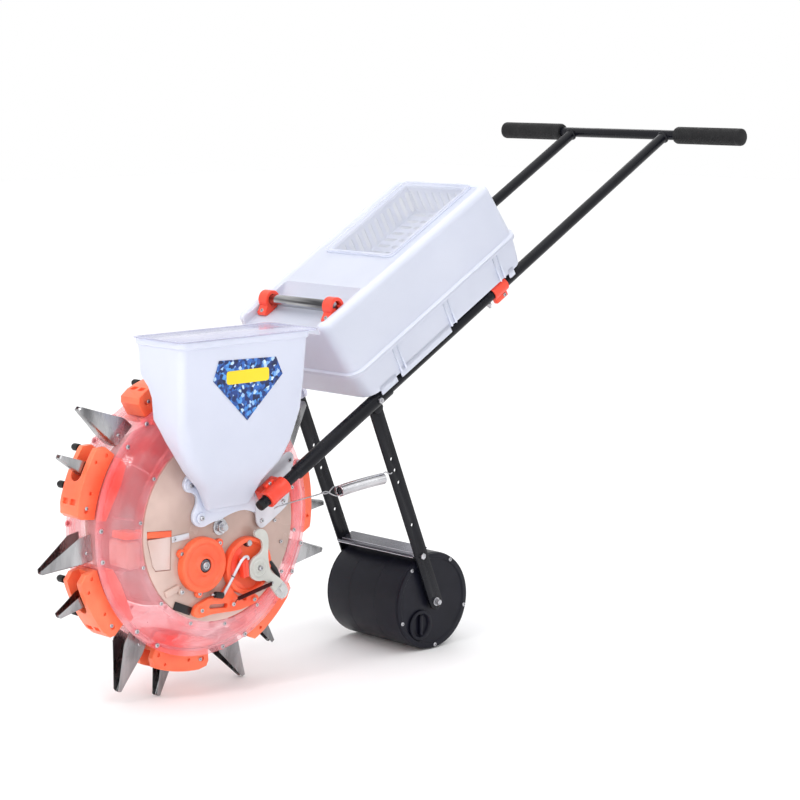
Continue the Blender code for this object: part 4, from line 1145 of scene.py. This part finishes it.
def make_pipe():
    points = spots([(168, -70, 477), (235, -72, 455), (310, -84, 430), (370, -93.5, 412), (405, -93.5, 395)])
    pipe = Solid()
    pipe.sweep(smooth_path(points, 3), 0.0106, "clear_lavender", 24)
    pipe.done("feed_pipe", "frame", ["fertiliser_pipe"])


# ---------------------------------------------------------------- press roller

def make_arms():
    top, bottom = (PIVOT.x - X0, PIVOT.z), (0.0, ROLLER_R)
    length = hypot(top[0] - bottom[0], top[1] - bottom[1])
    ux, uz = (bottom[0] - top[0]) / length, (bottom[1] - top[1]) / length
    holes = [circle(top[0], top[1], 0.0044, 20), circle(0, ROLLER_R, 0.0054, 20)]
    for reach in (0.103, 0.126, 0.151, 0.24):
        holes.append(circle(top[0] + ux * reach, top[1] + uz * reach, 0.0032, 16))
    for side, sign in SIDES:
        arm = Solid()
        arm.plate([capsule(top, bottom, 0.015, 14)] + holes, ARM_Y - 0.002, ARM_Y + 0.002, "paint",
                  upright(sign), 0.0006)
        x, z = top[0] + ux * 0.306, top[1] + uz * 0.306
        bolt = at(x, 0, z)
        arm.hexagon(*span(bolt, sign * (ARM_Y + 0.002), sign * (ARM_Y + 0.0062)), 0.0062, "zinc")
        arm.hexagon(*span(bolt, sign * (ARM_Y - 0.002), sign * (ARM_Y - 0.0055)), 0.0055, "zinc")
        arm.done(f"arm_bar_{side}", "roller_arms", [f"roller_arm_{side}"])
    blade = Solid()
    tilt = radians(22)
    inside = ARM_Y - 0.0026
    centre = at(0.104 * sin(tilt), 0, ROLLER_R + 0.104 * cos(tilt))
    turn = Matrix.Rotation(tilt, 4, "Y")
    profile = mm([(-20, -1.2), (17, -1.2), (18.8, -0.6), (20, 6), (18.5, 6.2), (17.2, 1), (16, 0.6),
                  (-20, 0.6)])
    flat = Matrix.Translation(centre) @ turn @ SIDEWAYS
    blade.plate([profile], -inside, inside, "sheet", flat, 0.0003)
    # Two thin light strips along the blade, one by its folded lip: painted highlights.
    for across in (0.0186, 0.006):
        ends = [centre + turn @ Vector((across, y, 0.0002)) for y in (-inside, inside)]
        blade.rod(*ends, 0.001, "light_plate", 10, 0.0002)
    blade.done("scraper_blade", "roller_arms", ["scraper"])
    axle = Solid()
    axle.rod((X0, -0.1135, ROLLER_R), (X0, 0.1135, ROLLER_R), 0.005, "zinc", 20)
    for sign in (1, -1):
        axle.rod((X0, sign * 0.1046, ROLLER_R), (X0, sign * 0.1058, ROLLER_R), 0.0078, "zinc", 28, 0.0003)
        axle.hexagon((X0, sign * 0.1058, ROLLER_R), (X0, sign * 0.11, ROLLER_R), 0.0064, "zinc")
    axle.done("roller_bolt", "roller_arms", ["roller_axle"])


def make_roller():
    shell = Solid()
    r, h = ROLLER_R, ROLLER_HALF
    half = [(0.0056, h - 0.004), (0.013, h - 0.004), (0.014, h - 0.0022), (0.078, h - 0.0022),
            (0.0792, h - 0.0006), (0.08, h), (0.0868, h), (0.0885, h - 0.0006), (0.089, h - 0.0022),
            (0.0882, h - 0.003), (0.0882, h - 0.004), (0.0897, h - 0.005), (0.09, h - 0.008)]
    seam = [(0.09, h * 0.36), (0.0897, h * 0.355), (0.09, h * 0.35)]
    middle = [(0.09, -h * 0.35), (0.0897, -h * 0.355), (0.09, -h * 0.36)]
    profile = half + seam + middle + [(a, -b) for a, b in half[::-1]]
    solid_outline = profile + [(0.0056, 0)]
    shell.lathe(solid_outline, (X0, 0, r), Y, "roller", 96, closed=True)
    hole = Solid()
    hole.stud(CAP_X, CAP_Z, h - 0.012, h + 0.01, 0.0222, "roller", 40, 0)
    made = carved(put(shell.mesh("roller"), "roller"), [put(hole.mesh("hole"), "hole")], "roller", 30)
    put(made, "roller_drum", "roller", ["roller_shell"])
    screws = Solid()
    for sign in (1, -1):
        for i in range(5):
            a = radians(122 + 72 * i)
            screws.screw((X0 + 0.0835 * cos(a), sign * h, r + 0.0835 * sin(a)), (0, sign, 0), 0.0037)
    screws.done("roller_screws", "roller")
    cap = Solid()
    centre = at(CAP_X, h, CAP_Z)
    cap.lathe(mm([
        (0, -3.4), (19.5, -3.4), (21, 1), (22.2, 2.4), (25.8, 2.6), (27.4, 2), (28, 0.8), (27.8, 0.4),
        (21.6, 0.4), (21.6, -4.8), (0, -4.8)]), centre, Y, "roller", 64)
    for i in range(28):
        a = 2 * pi * i / 28
        cap.box((0.0018, 0.0022, 0.0012), centre + Vector((0.0276 * cos(a), 0.0014, 0.0276 * sin(a))),
                "roller", Matrix.Rotation(-a, 4, "Y"), 0.0003)
    cap.box((0.0062, 0.0068, 0.0375), centre, "roller", None, 0.0018, 3)
    cap.done("filler_plug", "filler_cap", ["filler_cap"])


def make_roller_springs():
    """Tension spring and its wire link, from each tube clamp to the roller arm."""
    for side, sign in SIDES:
        spring = Solid()
        coil = spots([(244.3, 107, 327), (217, 106, 330.2), (184, 105, 333), (157, 104, 334.6),
                      (134.5, 103, 335.2)], sign)
        axis = smooth_path(coil, 3)
        spring.sweep(helix(axis, 0.0105, 44, 0.0013, 14), 0.00122, "chrome", 6)
        spring.sweep(smooth_path(spots([
            (137, 106, 344.5), (133, 107, 347.5), (128, 106.2, 346.5), (124, 105.5, 343.5),
            (119, 106.1, 342), (115, 105.5, 344)], sign), 2), 0.0012, "zinc", 8)
        link = spots([
            (244, 115, 323), (253, 113, 320), (262, 109, 323.5), (270, 107.5, 329), (279, 108.5, 331.5),
            (286, 109, 329), (300, 109, 327.5), (340, 110, 324.5), (380, 111, 320.5), (396, 113, 319.5),
            (401, 116.5, 318)], sign)
        spring.sweep(smooth_path(link, 2), 0.0011, "zinc", 8)
        twin = spots([
            (244, 100, 333), (253, 104, 336.5), (262, 107, 333.5), (270, 109, 328), (279, 108, 326.5),
            (286, 107, 330)], sign)
        spring.sweep(smooth_path(twin, 2), 0.0011, "zinc", 8)
        piece = spring.done(f"spring_coil_{side}", None, [f"roller_spring_{side}"])
        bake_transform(piece)


# ---------------------------------------------------------------- stage

# Name, place, size, power
LAMPS = (
    ("key", (1.6, 3.4, 3.2), 1.6, 24), ("fill", (3.4, -0.6, 1.8), 1.4, 9),
    ("back", (-2.4, -1.6, 2.8), 1.6, 12), ("front", (3.2, 1.5, 0.9), 1.8, 14),
    ("glint", (2.3, 0.4, 2.6), 0.35, 14))
FLOOR_SIZE, FLOOR_Z = 14, -0.0006
EYE = Vector((2.82444, 3.00825, 1.06815))
LOOK_AT = Vector((0, 0, 0.36))
LAMPS_AIM = Vector((0, 0, 0.4))
LENS, SENSOR = 103.73, 36
SHIFT = (0.0482, 0.0684)


def aim(thing, place, target):
    """Moves a lamp or camera to a place, facing a target."""
    thing.location = place
    thing.rotation_mode = "QUATERNION"
    thing.rotation_quaternion = (target - Vector(place)).to_track_quat("-Z", "Y")


def make_stage():
    scene = bpy.context.scene
    floor = Solid()
    part = bmesh.new()
    bmesh.ops.create_grid(part, x_segments=1, y_segments=1, size=FLOOR_SIZE)
    tree, shader = nodes_of("floor")
    tree.links.new(tones(tree, noise(tree, 3), (0.9, 0.9, 0.905), (0.92, 0.92, 0.925)),
                   shader.inputs["Base Color"])
    shader.inputs["Roughness"].default_value = 0.75
    floor.take(part, "floor")
    plane = put(floor.mesh("floor"), "floor")
    plane.location = (0, 0, FLOOR_Z)
    world = bpy.data.worlds.new("studio")
    scene.world = world
    world.use_nodes = True
    sky = world.node_tree.nodes["Background"]
    sky.inputs["Color"].default_value = (1.0, 1.0, 1.0, 1)
    sky.inputs["Strength"].default_value = 1.0
    for name, place, size, power in LAMPS:
        lamp = bpy.data.lights.new(name, "AREA")
        lamp.size = size
        lamp.energy = power
        obj = bpy.data.objects.new(name, lamp)
        scene.collection.objects.link(obj)
        aim(obj, place, LAMPS_AIM)
    sun = bpy.data.lights.new("sky_glow", "SUN")
    sun.angle = radians(60)
    sun.energy = 0.55
    high = bpy.data.objects.new("sky_glow", sun)
    scene.collection.objects.link(high)
    camera = bpy.data.cameras.new("camera")
    eye = bpy.data.objects.new("camera", camera)
    scene.collection.objects.link(eye)
    scene.camera = eye
    aim(eye, EYE, LOOK_AT)
    camera.sensor_width = SENSOR
    camera.lens = LENS
    camera.shift_x, camera.shift_y = SHIFT
    camera.clip_end = 60
    scene.view_settings.view_transform = "Standard"


make_materials()
make_stage()
make_handle()
make_tubes()
make_tube_clamps()
make_gussets()
make_side_plates()
make_hopper()
make_label()
make_meter()
make_feed_housing()
make_feed_lever()
make_plate_trim()
make_drum()
make_beaks()
make_cover()
make_tray()
make_window()
make_cross_bar()
make_pipe()
make_arms()
make_roller()
make_roller_springs()
